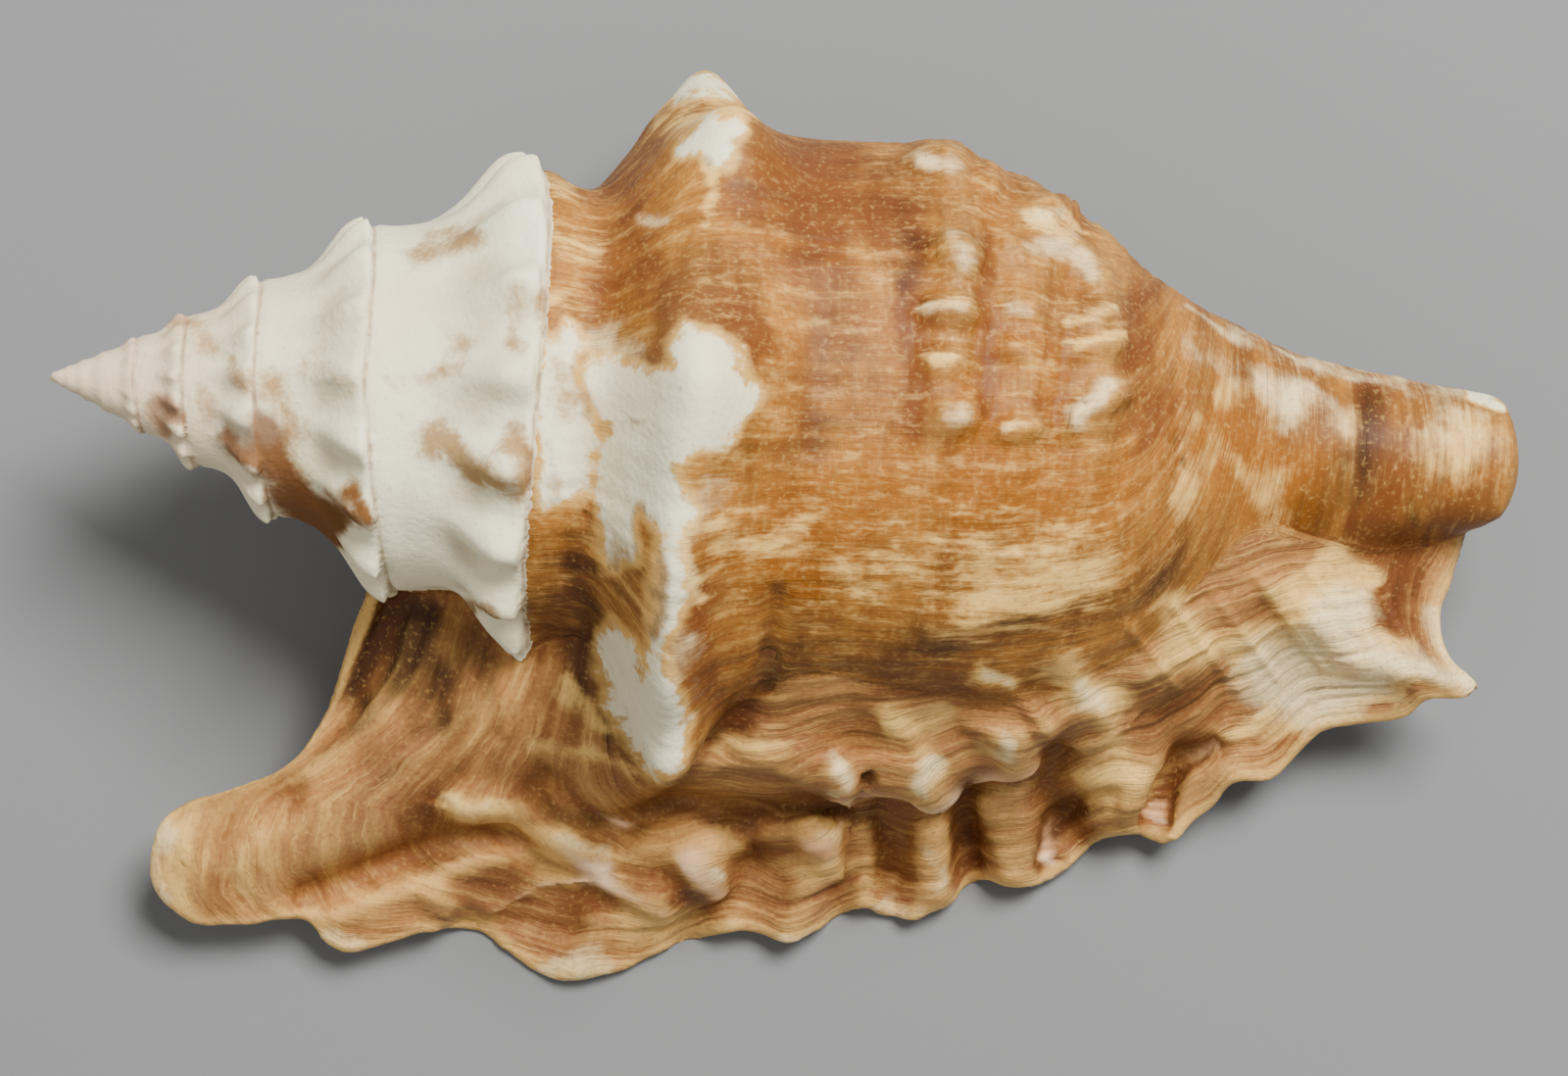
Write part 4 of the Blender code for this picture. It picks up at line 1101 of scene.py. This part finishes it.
RED = [
    (0.8, 24, [(1475, 520), (1510, 512)]), (0.45, 6, [(1436, 400), (1434, 500)]),
    (0.4, 6, [(1462, 404), (1460, 500)]), (0.35, 6, [(1490, 404), (1488, 490)]),
    (0.45, 26, [(1395, 400), (1405, 520)]), (0.45, 40, [(560, 620), (590, 740)]),
    (0.95, 22, [(268, 440), (290, 490), (335, 535)]), (0.7, 12, [(355, 500), (372, 532)]),
    (0.6, 9, [(170, 405), (188, 425)]), (0.6, 10, [(230, 452), (262, 474)]),
    (0.35, 10, [(536, 450), (534, 520)]), (0.4, 8, [(420, 612), (500, 622)]),
    (0.45, 9, [(1008, 230), (1012, 420)]), (0.45, 8, [(1062, 300), (1068, 430)]),
    (0.55, 11, [(930, 240), (928, 440)]), (0.6, 20, [(700, 322), (748, 330)]),
    (0.5, 40, [(780, 190), (830, 240)]), (0.95, 28, [(690, 305), (740, 312), (772, 350)]),
    (0.8, 13, [(655, 372), (676, 372), (692, 350)]), (0.6, 44, [(840, 190), (900, 220)]),
    (0.6, 34, [(650, 190), (640, 280)]), (0.35, 34, [(840, 300), (825, 420)]),
    (0.55, 28, [(940, 300), (940, 430), (955, 470)]), (0.6, 28, [(710, 600), (710, 690), (745, 735)]),
    (0.7, 24, [(1398, 400), (1412, 470), (1400, 540)]), (0.7, 26, [(185, 822), (250, 808), (300, 815)]),
    (0.6, 44, [(600, 920), (680, 900), (720, 935)]), (0.6, 24, [(895, 850), (905, 895)]),
    (0.6, 30, [(1130, 850), (1180, 830)]), (0.55, 34, [(1395, 560), (1440, 640), (1450, 670)]),
    (0.5, 26, [(470, 740), (440, 830)]), (0.55, 36, [(1150, 300), (1170, 440)]),
    (0.5, 24, [(770, 865), (810, 905)]), (0.5, 34, [(1000, 860), (1060, 880)]),
    (0.6, 24, [(745, 128), (800, 160), (860, 160)]), (0.55, 44, [(1200, 720), (1260, 700)]),
    (0.55, 28, [(1440, 560), (1420, 600)]), (0.5, 30, [(900, 720), (980, 690)]),
]
print("dark strokes:", len(DARK_AND_SHADE), "and reddish strokes:", len(RED))

# %% [markdown]
# The body is bright orange where it is least worn. Cream lies in dashes over the lower body and along
# the crests of the lip, where it is partly a painted highlight. The palest spots lie on the tops of
# nodules and folds: partly pale shell, partly painted highlight where the light falls on those tops.

# %% Golden, cream and pale zones, with painted highlights
# amount, half width, points
GOLD = [
    (0.7, 50, [(770, 200), (820, 240)]), (0.6, 70, [(840, 510), (960, 500), (1080, 480)]),
    (0.75, 60, [(1220, 450), (1310, 500)]), (0.6, 24, [(995, 170), (1010, 215)]),
    (0.6, 36, [(1030, 330), (1080, 380)]), (0.85, 15, [(700, 640), (708, 712)]),
    (0.85, 22, [(1492, 510), (1520, 505)]), (0.65, 28, [(1225, 640), (1260, 665)]),
    (0.55, 34, [(850, 745), (900, 762)]), (0.5, 36, [(700, 640), (770, 690)]),
    (0.55, 50, [(900, 330), (1000, 420)]), (0.6, 30, [(1000, 500), (1130, 500)]),
    (0.5, 40, [(760, 560), (820, 600)]),
]
# cream: the shell's own, and along the lip's crests partly a painted highlight
CREAM = [
    (0.2, 13, [(427, 680), (406, 770), (412, 850)]), (0.7, 26, [(180, 850), (185, 925)]),
    (0.45, 26, [(250, 860), (260, 920)]), (0.75, 18, [(470, 824), (530, 834), (575, 854)]),
    (0.55, 13, [(551, 760), (590, 772), (636, 790)]), (0.55, 14, [(590, 705), (622, 745)]),
    (0.55, 16, [(560, 172), (600, 186)]), (0.5, 18, [(560, 228), (604, 248)]),
    (0.45, 14, [(570, 300), (600, 296)]), (0.65, 16, [(730, 180), (736, 225)]),
    (0.55, 24, [(746, 540), (800, 545)]), (0.6, 16, [(694, 560), (705, 600)]),
    (0.45, 50, [(880, 590), (1100, 560)]), (0.6, 34, [(1000, 635), (1110, 600)]),
    (0.6, 22, [(740, 768), (800, 762)]), (0.7, 16, [(914, 742), (962, 734)]),
    (0.75, 13, [(1000, 700), (1028, 700)]), (0.85, 22, [(1076, 695), (1130, 706)]),
    (0.6, 15, [(1010, 762), (1050, 752)]), (0.6, 16, [(940, 772), (955, 798)]),
    (0.65, 28, [(1120, 795), (1165, 800)]), (0.6, 16, [(1130, 740), (1150, 765)]),
    (0.92, 22, [(1270, 665), (1340, 628), (1395, 590)]),
    (0.85, 15, [(1255, 745), (1330, 695), (1385, 652)]),
    (0.8, 13, [(1290, 760), (1370, 722), (1440, 700)]), (0.75, 15, [(1395, 640), (1435, 655)]),
    (0.75, 18, [(1310, 605), (1370, 562)]), (0.6, 20, [(1190, 620), (1210, 650)]),
    (0.5, 50, [(1455, 450), (1505, 450)]), (0.35, 26, [(1320, 470), (1360, 490)]),
    (0.45, 24, [(1245, 475), (1290, 500), (1300, 530)]), (0.45, 18, [(1205, 420), (1205, 520)]),
    (0.45, 12, [(1026, 310), (1034, 340)]), (0.7, 14, [(1070, 222), (1094, 240)]),
    (0.7, 12, [(954, 362), (972, 362)]), (0.7, 12, [(1034, 436), (1050, 433)]),
    (0.65, 13, [(1092, 322), (1124, 318)]), (0.6, 11, [(1104, 352), (1130, 350)]),
    (0.65, 18, [(680, 118), (760, 120)]), (0.45, 34, [(620, 900), (560, 885)]),
    (0.45, 20, [(800, 880), (900, 910)]), (0.5, 28, [(640, 950), (700, 938)]),
    (0.55, 12, [(948, 316), (984, 312)]), (0.45, 26, [(1250, 400), (1370, 430)]),
    (0.55, 26, [(1180, 690), (1240, 650)]), (0.6, 10, [(1080, 222), (1058, 210)]),
]
# palest spots: pale nodule tops, and partly painted highlight on lit tops of nodules and folds
PALE_AND_HIGHLIGHT = [
    (0.5, 12, [(1215, 322), (1303, 354), (1376, 373), (1490, 390)]),
    (0.55, 24, [(1285, 392), (1312, 416)]), (0.42, 28, [(1335, 402), (1360, 425)]),
    (0.35, 18, [(1216, 360), (1250, 376)]), (0.6, 10, [(658, 220), (678, 217)]),
    (0.7, 15, [(855, 778), (864, 804)]), (0.75, 20, [(714, 886), (726, 900)]),
    (0.5, 13, [(838, 862), (844, 882)]), (0.45, 12, [(948, 866), (954, 900)]),
    (0.65, 13, [(1024, 752), (1030, 768)]), (0.7, 18, [(1098, 702), (1118, 712)]),
    (0.8, 13, [(944, 785), (950, 800)]), (0.65, 9, [(1465, 620), (1478, 680), (1494, 706)]),
    (0.55, 12, [(572, 850), (600, 870), (617, 879)]), (0.35, 14, [(468, 822), (520, 828)]),
    (0.6, 18, [(166, 850), (166, 915)]), (0.7, 10, [(1006, 698), (1026, 702)]),
    (0.55, 18, [(335, 962), (370, 966)]), (0.6, 18, [(560, 990), (620, 990)]),
    (0.55, 12, [(790, 958), (820, 960)]), (0.5, 12, [(905, 930), (940, 932)]),
    (0.7, 15, [(1440, 690), (1480, 702)]), (0.7, 18, [(940, 160), (966, 163)]),
    (0.66, 18, [(974, 258), (982, 266)]), (0.5, 13, [(950, 316), (980, 314)]),
    (0.62, 16, [(974, 426), (984, 424)]), (0.58, 15, [(1072, 246), (1098, 258), (1116, 282)]),
    (0.66, 14, [(1098, 426), (1134, 400)]), (0.5, 14, [(1064, 214), (1084, 212)]),
    (0.5, 12, [(1034, 308), (1046, 312)]), (0.4, 11, [(1034, 436), (1050, 433)]),
    (0.55, 18, [(690, 545), (700, 590)]), (0.8, 44, [(1290, 690), (1370, 640)]),
    (0.75, 34, [(1330, 725), (1420, 680)]), (0.4, 34, [(1460, 430), (1500, 425)]),
    (0.5, 30, [(640, 360), (600, 350)]), (0.5, 26, [(740, 490), (710, 520)]),
    (0.45, 24, [(700, 660), (692, 730)]), (0.25, 16, [(1204, 440), (1204, 500)]),
]
print("golden:", len(GOLD), "cream:", len(CREAM), "pale:", len(PALE_AND_HIGHLIGHT), "strokes")

# %% [markdown]
# All fields are stored on the mesh as attributes, one number for each point, where the material can
# read them. The strokes are swayed by soft noise first, because a shell has no straight brush marks.
# One more field comes from the shape alone: how far a point lies below its surroundings. With it the
# material paints shade into the hollows and a highlight onto the crests.

# %% Painting
HOLLOW_ROUNDS = 45
SOFT_MARKINGS = {"stain": STAIN, "dark_and_shade": DARK_AND_SHADE, "red": RED, "gold": GOLD, "cream": CREAM, "pale_and_highlight": PALE_AND_HIGHLIGHT}
HARD_SWAY = 8
SOFT_SWAY = 15
PAINT_FACES = (-0.25, 0.1)
CREAM_BELOW = 0.5
BELOW_FACES = (0.0, 0.9)


def hollowness(mesh, points, normals):
    """How far each point lies in a hollow, or below 0 how far it stands out, in millimetres."""
    level = points.copy()
    soften(mesh, level, 1.0, HOLLOW_ROUNDS)
    return ((level - points) * normals).sum(axis=1)


def paint(mesh, points):
    """Stores every field on the mesh, one number for each point."""
    normals = normals_of(mesh)
    fields = growth_places(points, normals)
    _, angle, _ = seen_round_axis(points)
    upper = upper_side(normals, angle, fields, *PAINT_FACES)
    x, y = seen_from_above(points)
    sway_x, sway_y = cloudy(points, SMALL_CLOUD), cloudy(points, SMALL_CLOUD, 9.0)
    swayed = x + HARD_SWAY * sway_x, y + HARD_SWAY * sway_y
    fields["chalk"] = hard_marking(*swayed, CHALK_PATCHES, CHALK_STROKES) * upper
    x = x + SOFT_SWAY * (sway_x + cloudy(points, LARGE_CLOUD, 3.0))
    y = y + SOFT_SWAY * (sway_y + cloudy(points, LARGE_CLOUD, 6.0))
    for name, strokes in SOFT_MARKINGS.items():
        fields[name] = soft_marking(x, y, strokes) * upper
    below = CREAM_BELOW * ease(-normals[:, 2], *BELOW_FACES) * (1 - fields["inner"])
    fields["cream"] = np.maximum(fields["cream"], below)
    fields["hollow"] = hollowness(mesh, points, normals)
    print("hollows and crests in millimetres:", np.percentile(fields["hollow"], [2, 50, 98]).round(2))
    for name, values in fields.items():
        mesh.attributes.new(name, "FLOAT", "POINT").data.foreach_set("value", values.astype(np.float32))
    print("painted", len(fields), "fields on", len(points), "points")


paint(shell.data, grown)

# %% [markdown]
# Shader maths is easier to read as plain sums. This class stands for one output socket, and each
# operator on it adds the node that works it out.

# %% A socket to calculate with


class Shade:
    """One output socket in a material's node tree."""

    def __init__(self, tree, socket):
        self.tree, self.socket = tree, socket

    def node(self, kind, settings, values, output=0):
        """Adds a node: its settings first, then the values or links of its sockets."""
        made = self.tree.nodes.new(kind)
        for name, value in settings.items():
            setattr(made, name, value)
        for key, value in values.items():
            if isinstance(value, Shade):
                self.tree.links.new(value.socket, made.inputs[key])
            else:
                made.inputs[key].default_value = value
        return Shade(self.tree, made.outputs[output])

    def maths(self, operation, first, second=0.0):
        return self.node("ShaderNodeMath", {"operation": operation}, {0: first, 1: second})

    def __add__(self, other):
        return self.maths("ADD", self, other)

    __radd__ = __add__

    def __sub__(self, other):
        return self.maths("SUBTRACT", self, other)

    def __rsub__(self, other):
        return self.maths("SUBTRACT", other, self)

    def __mul__(self, other):
        return self.maths("MULTIPLY", self, other)

    __rmul__ = __mul__

    def above(self, low, high):
        """0 below low, 1 above high and smooth between."""
        values = {"Value": self, "From Min": low, "From Max": high}
        return self.node("ShaderNodeMapRange", {"interpolation_type": "SMOOTHSTEP"}, values)

    def most(self, other):
        return self.maths("MAXIMUM", self, other)

    def over(self, below, colour):
        """Lays a colour over another where this mask is 1."""
        return self.node("ShaderNodeMix", {"data_type": "RGBA"}, {0: self, 6: below, 7: colour}, 2)


def linear(red, green, blue):
    """A colour as a screen shows it, from 0 to 255, as the shader wants it."""
    steps = (c / 255 for c in (red, green, blue))
    return tuple(c / 12.92 if c <= 0.04045 else ((c + 0.055) / 1.055) ** 2.4 for c in steps) + (1.0,)


print("a screen's middle grey is", round(linear(119, 119, 119)[0], 2), "to the shader")

# %% [markdown]
# Plain noise would look like stone. On a shell everything is drawn out along the growth lines, so one
# direction of the noise is the painted growth field, which is also swayed a little, and the other two
# run slowly along the lines. Each pattern has its own width across the lines and length along them.

# %% Noise along the growth lines
STREAK_ROUGHNESS = 0.66
WANDER = 8.0

shell_look = bpy.data.materials.new("weathered_shell")
shell_look.use_nodes = True
start = Shade(shell_look.node_tree, None)
place = start.node("ShaderNodeTexCoord", {}, {}, "Object")
east, north = (start.node("ShaderNodeSeparateXYZ", {}, {"Vector": place}, side) for side in "XY")


def field(name):
    """A field that was painted on the mesh."""
    return start.node("ShaderNodeAttribute", {"attribute_name": name}, {}, "Fac")


def mottle(size, detail=4.0):
    """Plain noise of one size in millimetres."""
    values = {"Vector": place, "Scale": 1 / (size * MM), "Detail": detail}
    return start.node("ShaderNodeTexNoise", {}, values, "Fac")


def drawn_out(first, second, third, detail):
    """Noise whose three directions are scaled one by one."""
    vector = start.node("ShaderNodeCombineXYZ", {}, {"X": first, "Y": second, "Z": third})
    values = {"Vector": vector, "Scale": 1.0, "Detail": detail, "Roughness": STREAK_ROUGHNESS}
    return start.node("ShaderNodeTexNoise", {}, values, "Fac")


on_lip = field("lip")
on_body = 1 - on_lip
on_back = on_body * (1 - field("along").above(92.0, 112.0))
grow = field("growth") + (mottle(WANDER) - 0.5) * (1.0 + on_lip * 0.7)


def streaks(across, along, detail=4.0, seed=0.0):
    """Noise drawn out along the growth lines: the sizes are in millimetres."""
    slow = 1 / (along * MM)
    return drawn_out(grow * (1 / across), east * slow + seed, north * slow, detail)


fine = streaks(across=0.42, along=7.0, detail=7.0)
lines = streaks(across=1.1, along=16.0, seed=20.0)
bands = streaks(across=2.6, along=22.0, detail=3.0, seed=4.0)
wide = streaks(across=7.0, along=34.0, detail=2.0, seed=12.0)
dashes = streaks(across=0.9, along=2.2, detail=2.0, seed=8.0)
print("five widths of streaks use", len(shell_look.node_tree.nodes), "nodes")

# %% [markdown]
# Round the body runs a second direction, the spiral one of threads and cords. Threads, rings and blots
# are noise in both directions at once: how far along the axis, and how far across the growth lines.
# The rest is plain noise: frayed edges, clouds, grain and grit.

# %% Threads, blots and grain
threads = drawn_out(field("along") * (1 / 1.0), grow * (1 / 7.0), 0.0, 3.0)
blots = drawn_out(field("along") * (1 / 4.0), grow * (1 / 1.5), 6.0, 3.0)
rings = drawn_out(field("along") * (1 / 4.5), grow * (1 / 16.0), 3.0, 2.0)
fray = mottle(2.2, detail=6.0)
cloud = mottle(13.0)
grain = mottle(0.7, detail=3.0)
grit = mottle(0.5, detail=5.0)
stripe = (bands - 0.5) * 1.3 + (wide - 0.5) * 1.0
print("all patterns together use", len(shell_look.node_tree.nodes), "nodes")

# %% [markdown]
# The colour is laid on in layers, from the ground up, as the shell's own layers lie. Each line is a
# mask, an amount, and a colour over what is there. The ground goes from tan to brown in broad bands on
# the body, and from sand to a cooler brown on the lip. Fine lines of cream and brown follow.

# %% The ground colours
TAN = linear(166, 110, 44)
SAND = linear(184, 132, 74)
BROWN = linear(104, 62, 26)
LIP_BROWN = linear(130, 80, 50)
ORANGE = linear(146, 86, 24)
CREAM_LIME = linear(238, 194, 112)
RED_BROWN = linear(106, 58, 26)

shade = on_lip.over(BROWN, LIP_BROWN)
banding = stripe * (0.30 + on_lip * 0.45) + (rings - 0.5) * 1.1 * on_body
tone = banding + (cloud - 0.5) * 0.7 + 0.5
colour = tone.above(0.25, 0.85).over(on_lip.over(TAN, SAND), shade)
gold = field("gold") * (1 - on_lip * 0.4) * 1.3 + (cloud - 0.5) * 0.8 + stripe * 0.25
colour = (gold.above(0.2, 1.0) * 0.9).over(colour, ORANGE)
colour = (fine.above(0.52, 0.66) * (0.12 + on_lip * 0.30)).over(colour, CREAM_LIME)
colour = (fine.above(0.49, 0.34) * (0.30 + on_lip * 0.25)).over(colour, shade)
colour = (lines.above(0.54, 0.68) * on_lip * 0.30).over(colour, CREAM_LIME)
colour = (lines.above(0.47, 0.34) * on_lip * 0.40).over(colour, RED_BROWN)
colour = (threads.above(0.50, 0.75) * on_body * 0.14).over(colour, CREAM_LIME)
colour = (blots.above(0.50, 0.72) * on_back * 0.38).over(colour, CREAM_LIME)
colour = (blots.above(0.48, 0.28) * (on_body * 0.15 + on_back * 0.30)).over(colour, BROWN)
print("the ground needs", len(shell_look.node_tree.nodes), "nodes so far")

# %% [markdown]
# Over the ground come the painted zones. A field and some noise are added up before the edge is taken,
# so that the noise moves the edge and a zone breaks up into streaks instead of fading like a shadow.
# Hollows are tinted brown as painted shade, and crests cream as a painted highlight.

# %% Reddish, dark and cream zones
BROWN_AND_SHADE = linear(50, 26, 13)
WHITE_AND_HIGHLIGHT = linear(246, 224, 172)

red = field("red") * 1.4 + stripe * 0.7 + (fray - 0.5) * 0.7 + (rings - 0.5) * 0.5 * on_body
colour = (red.above(0.15, 1.0) * 0.85).over(colour, RED_BROWN)
# dark brown: painted shade in the valleys, folds and lobe, and the shell's own brown elsewhere
dark_and_shade = (field("dark_and_shade") * 1.35 + stripe * 0.9 + (fine - 0.5) * 0.6).above(0.18, 1.15)
colour = (dark_and_shade * 0.95).over(colour, BROWN_AND_SHADE)
broken = stripe * -0.7 + (blots - 0.5) * 1.6 * on_back + (fine - 0.5) * 0.7 + (fray - 0.5) * 0.7
cream = (field("cream") * 1.35 + broken).above(0.30, 1.05)
colour = (cream * 0.9).over(colour, CREAM_LIME)
flecks = (dashes + (cloud - 0.5) * 0.3).above(0.56, 0.76) * on_body * (1 - dark_and_shade)
colour = (flecks * 0.20).over(colour, CREAM_LIME)
hollow = field("hollow")
# painted shade: hollows and creases darkened in reddish brown
valley_shade = (hollow + (fine - 0.5) * 0.3).above(0.02, 0.60)
colour = (valley_shade * 0.45).over(colour, RED_BROWN)
# painted highlight: crests lightened in cream, most on the lip
crest_highlight = (hollow * -1.0 + (fine - 0.5) * 0.3).above(0.05, 0.70)
colour = (crest_highlight * (0.08 + on_lip * 0.27)).over(colour, CREAM_LIME)
colour = (field("cord").above(0.40, 1.1) * (1 - dark_and_shade) * 0.10).over(colour, CREAM_LIME)
rim = (field("margin") + (fine - 0.5) * 0.8).above(0.45, 1.1)
colour = (rim * 0.5).over(colour, CREAM_LIME)
# palest cream: partly pale shell, partly painted highlight on the lit tops of nodules and folds
pale_and_highlight = (field("pale_and_highlight") * 1.2 + (fray - 0.5) * 0.9 + (fine - 0.5) * 0.5).above(0.25, 1.10)
colour = (pale_and_highlight * 0.95).over(colour, WHITE_AND_HIGHLIGHT)
colour = (grit.above(0.53, 0.74) * 0.20).over(colour, CREAM_LIME)
colour = (grit.above(0.47, 0.30) * 0.30).over(colour, RED_BROWN)
print("with its zones the colour needs", len(shell_look.node_tree.nodes), "nodes")

# %% [markdown]
# The spire and the worn patches are bare lime. Surf and sand have taken the coloured layer off, so the
# edge is sharp and frayed, with a cream halo where the layer is thin. The lime itself is pitted and
# stained, brown in old stains and pinkish at the very tip, and tan painted shade lies in its hollows.

# %% Worn lime
CHALK = linear(240, 235, 206)
WORN_CHALK = linear(224, 208, 160)
PIT = linear(176, 156, 118)
STAIN_BROWN = linear(152, 110, 44)
PINK = linear(206, 168, 140)
SUTURE_BROWN = linear(128, 88, 52)

halo = (field("chalk").above(0.05, 0.5) + (fray - 0.5) * 1.2 + (fine - 0.5) * 0.5).above(0.2, 1.0)
colour = (halo * 0.6).over(colour, CREAM_LIME)
bare = field("chalk").most(field("spire")) + (fray - 0.5) * 0.9 + (grit - 0.5) * 0.35
chalk = bare.above(0.40, 0.62)
lime = (cloud.above(0.35, 0.75) * 0.35).over(CHALK, WORN_CHALK)
lime = (grain.above(0.62, 0.74) * 0.30).over(lime, PIT)
# painted shade: the hollows of the lime darkened to tan
lime = ((hollow + (fray - 0.5) * 0.5).above(0.05, 0.60) * 0.35).over(lime, STAIN_BROWN)
stain = (field("stain") * 1.3 + (fray - 0.5) * 1.3 + (grit - 0.5) * 0.7).above(0.25, 1.15)
lime = (stain * 0.85).over(lime, STAIN_BROWN)
old_stain = (field("red") * field("spire") * 1.3 + (fray - 0.5) * 0.8).above(0.2, 0.9)
lime = (old_stain * 0.9).over(lime, BROWN)
lime = (field("apex") * (0.35 + fray * 0.3)).over(lime, PINK)
colour = chalk.over(colour, lime)
colour = (field("suture").above(0.45, 1.0) * (fray + 0.1)).over(colour, SUTURE_BROWN)
print("with the worn lime it needs", len(shell_look.node_tree.nodes), "nodes")

# %% [markdown]
# The inside is smooth porcelain, cream with apricot clouds and white towards the edge of the lip. Then
# the finish: low gloss where the coloured layer is left, matt on bare lime. A bump adds what is too
# fine for the mesh. It follows the growth lines on the lip and is only a grain on the lime.

# %% Lining, gloss and grain
PORCELAIN = linear(240, 206, 166)
APRICOT = linear(226, 172, 122)
GLOSS = 0.17
GRAIN_STRENGTH = 0.7
GRAIN_HEIGHT = 0.4 * MM

inside = field("inner")
lining = cloud.above(0.35, 0.70).over(PORCELAIN, APRICOT)
lining = (field("margin").above(0.0, 0.8) * 0.6).over(lining, CHALK)
colour = inside.over(colour, lining)
rough = 0.46 + chalk * 0.30 + (fine - 0.5) * 0.15 - inside * 0.12
ridges = fine * (0.35 + on_lip * 0.4) + lines * on_lip * 0.7 + dashes * 0.15 + threads * on_body * 0.2
relief = (ridges * (1 - chalk) + (grain + fray) * chalk * 0.35) * (1 - inside)
grained = {"Height": relief, "Strength": GRAIN_STRENGTH, "Distance": GRAIN_HEIGHT}
bump = start.node("ShaderNodeBump", {}, grained, "Normal")

surface = shell_look.node_tree.nodes["Principled BSDF"]
surface.inputs["Specular IOR Level"].default_value = GLOSS
for socket_name, shading in {"Base Color": colour, "Roughness": rough, "Normal": bump}.items():
    shell_look.node_tree.links.new(shading.socket, surface.inputs[socket_name])
print("the shell's material has", len(shell_look.node_tree.nodes), "nodes")

# %% [markdown]
# The mesh gets its material and moves into the frame. It rides on the one body of the part and takes the
# place of the imported solid.

# %% The dressed shell
shell.data.materials.clear()
shell.data.materials.append(shell_look)
shell.data.vertices.foreach_set("co", to_frame(grown).ravel())
shell.data.update()
shell.data.shade_smooth()
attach(shell, "root")
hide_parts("shell")
print("the dressed shell has", len(shell.data.polygons), "triangles")

# %% [markdown]
# The floor is plain and pale. One large soft light stands high at the upper right, as in the
# photograph, a weak one fills from the left, and the rest is an even, slightly warm sky.

# %% Floor and light
FLOOR_GREY = 0.18
FLOOR_REACH = 3.0
WARM_LIGHT = (1.0, 0.96, 0.89)
LIT_POINT = Vector((0, 0, 0.02))
SKY_COLOUR = (1.0, 0.96, 0.90, 1)
SKY_STRENGTH = 0.34


def area_light(name, place, size, power):
    """A soft square light that faces the shell."""
    data = bpy.data.lights.new(name, "AREA")
    data.energy = power
    data.size = size
    data.color = WARM_LIGHT
    lamp = bpy.data.objects.new(name, data)
    lamp.location = place
    lamp.rotation_euler = (LIT_POINT - Vector(place)).to_track_quat("-Z", "Y").to_euler()
    bpy.context.scene.collection.objects.link(lamp)


def floor_piece():
    """A wide plain floor."""
    corners = [(x * FLOOR_REACH, y * FLOOR_REACH, 0) for x, y in ((-1, -1), (1, -1), (1, 1), (-1, 1))]
    floor_look = bpy.data.materials.new("pale_floor")
    floor_look.use_nodes = True
    matt = floor_look.node_tree.nodes["Principled BSDF"]
    matt.inputs["Base Color"].default_value = (FLOOR_GREY * 0.95, FLOOR_GREY, FLOOR_GREY * 1.08, 1)
    matt.inputs["Roughness"].default_value = 0.8
    piece = plain_object("floor", corners, [(0, 1, 2, 3)])
    piece.data.materials.append(floor_look)
    return piece


floor_piece()
area_light("key", (0.22, 0.34, 0.68), size=0.30, power=15.0)
area_light("fill", (-0.5, -0.3, 0.5), size=0.6, power=1.2)
sky = bpy.data.worlds.new("soft_sky")
sky.use_nodes = True
sky.node_tree.nodes["Background"].inputs["Color"].default_value = SKY_COLOUR
sky.node_tree.nodes["Background"].inputs["Strength"].default_value = SKY_STRENGTH
bpy.context.scene.world = sky
print("lit by", len(bpy.data.lights), "lights and the sky")

# %% [markdown]
# The camera looks straight down from 40 cm, as in the photograph. The frame is 1600 pixels wide, and
# each pixel covers 0.0935 mm at the height of the shell's middle.

# %% Camera
half_width = FRAME_PIXELS * PIXEL_MM / 2
camera_data = bpy.data.cameras.new("camera")
camera_data.sensor_fit = "HORIZONTAL"
camera_data.angle = 2 * math.atan(half_width / (CAMERA_HEIGHT - MIDDLE_HEIGHT))
camera = bpy.data.objects.new("camera", camera_data)
camera.location = to_frame([0.0, 0.0, CAMERA_HEIGHT])
bpy.context.scene.collection.objects.link(camera)
bpy.context.scene.camera = camera
print("camera", [round(x, 4) for x in camera.location])
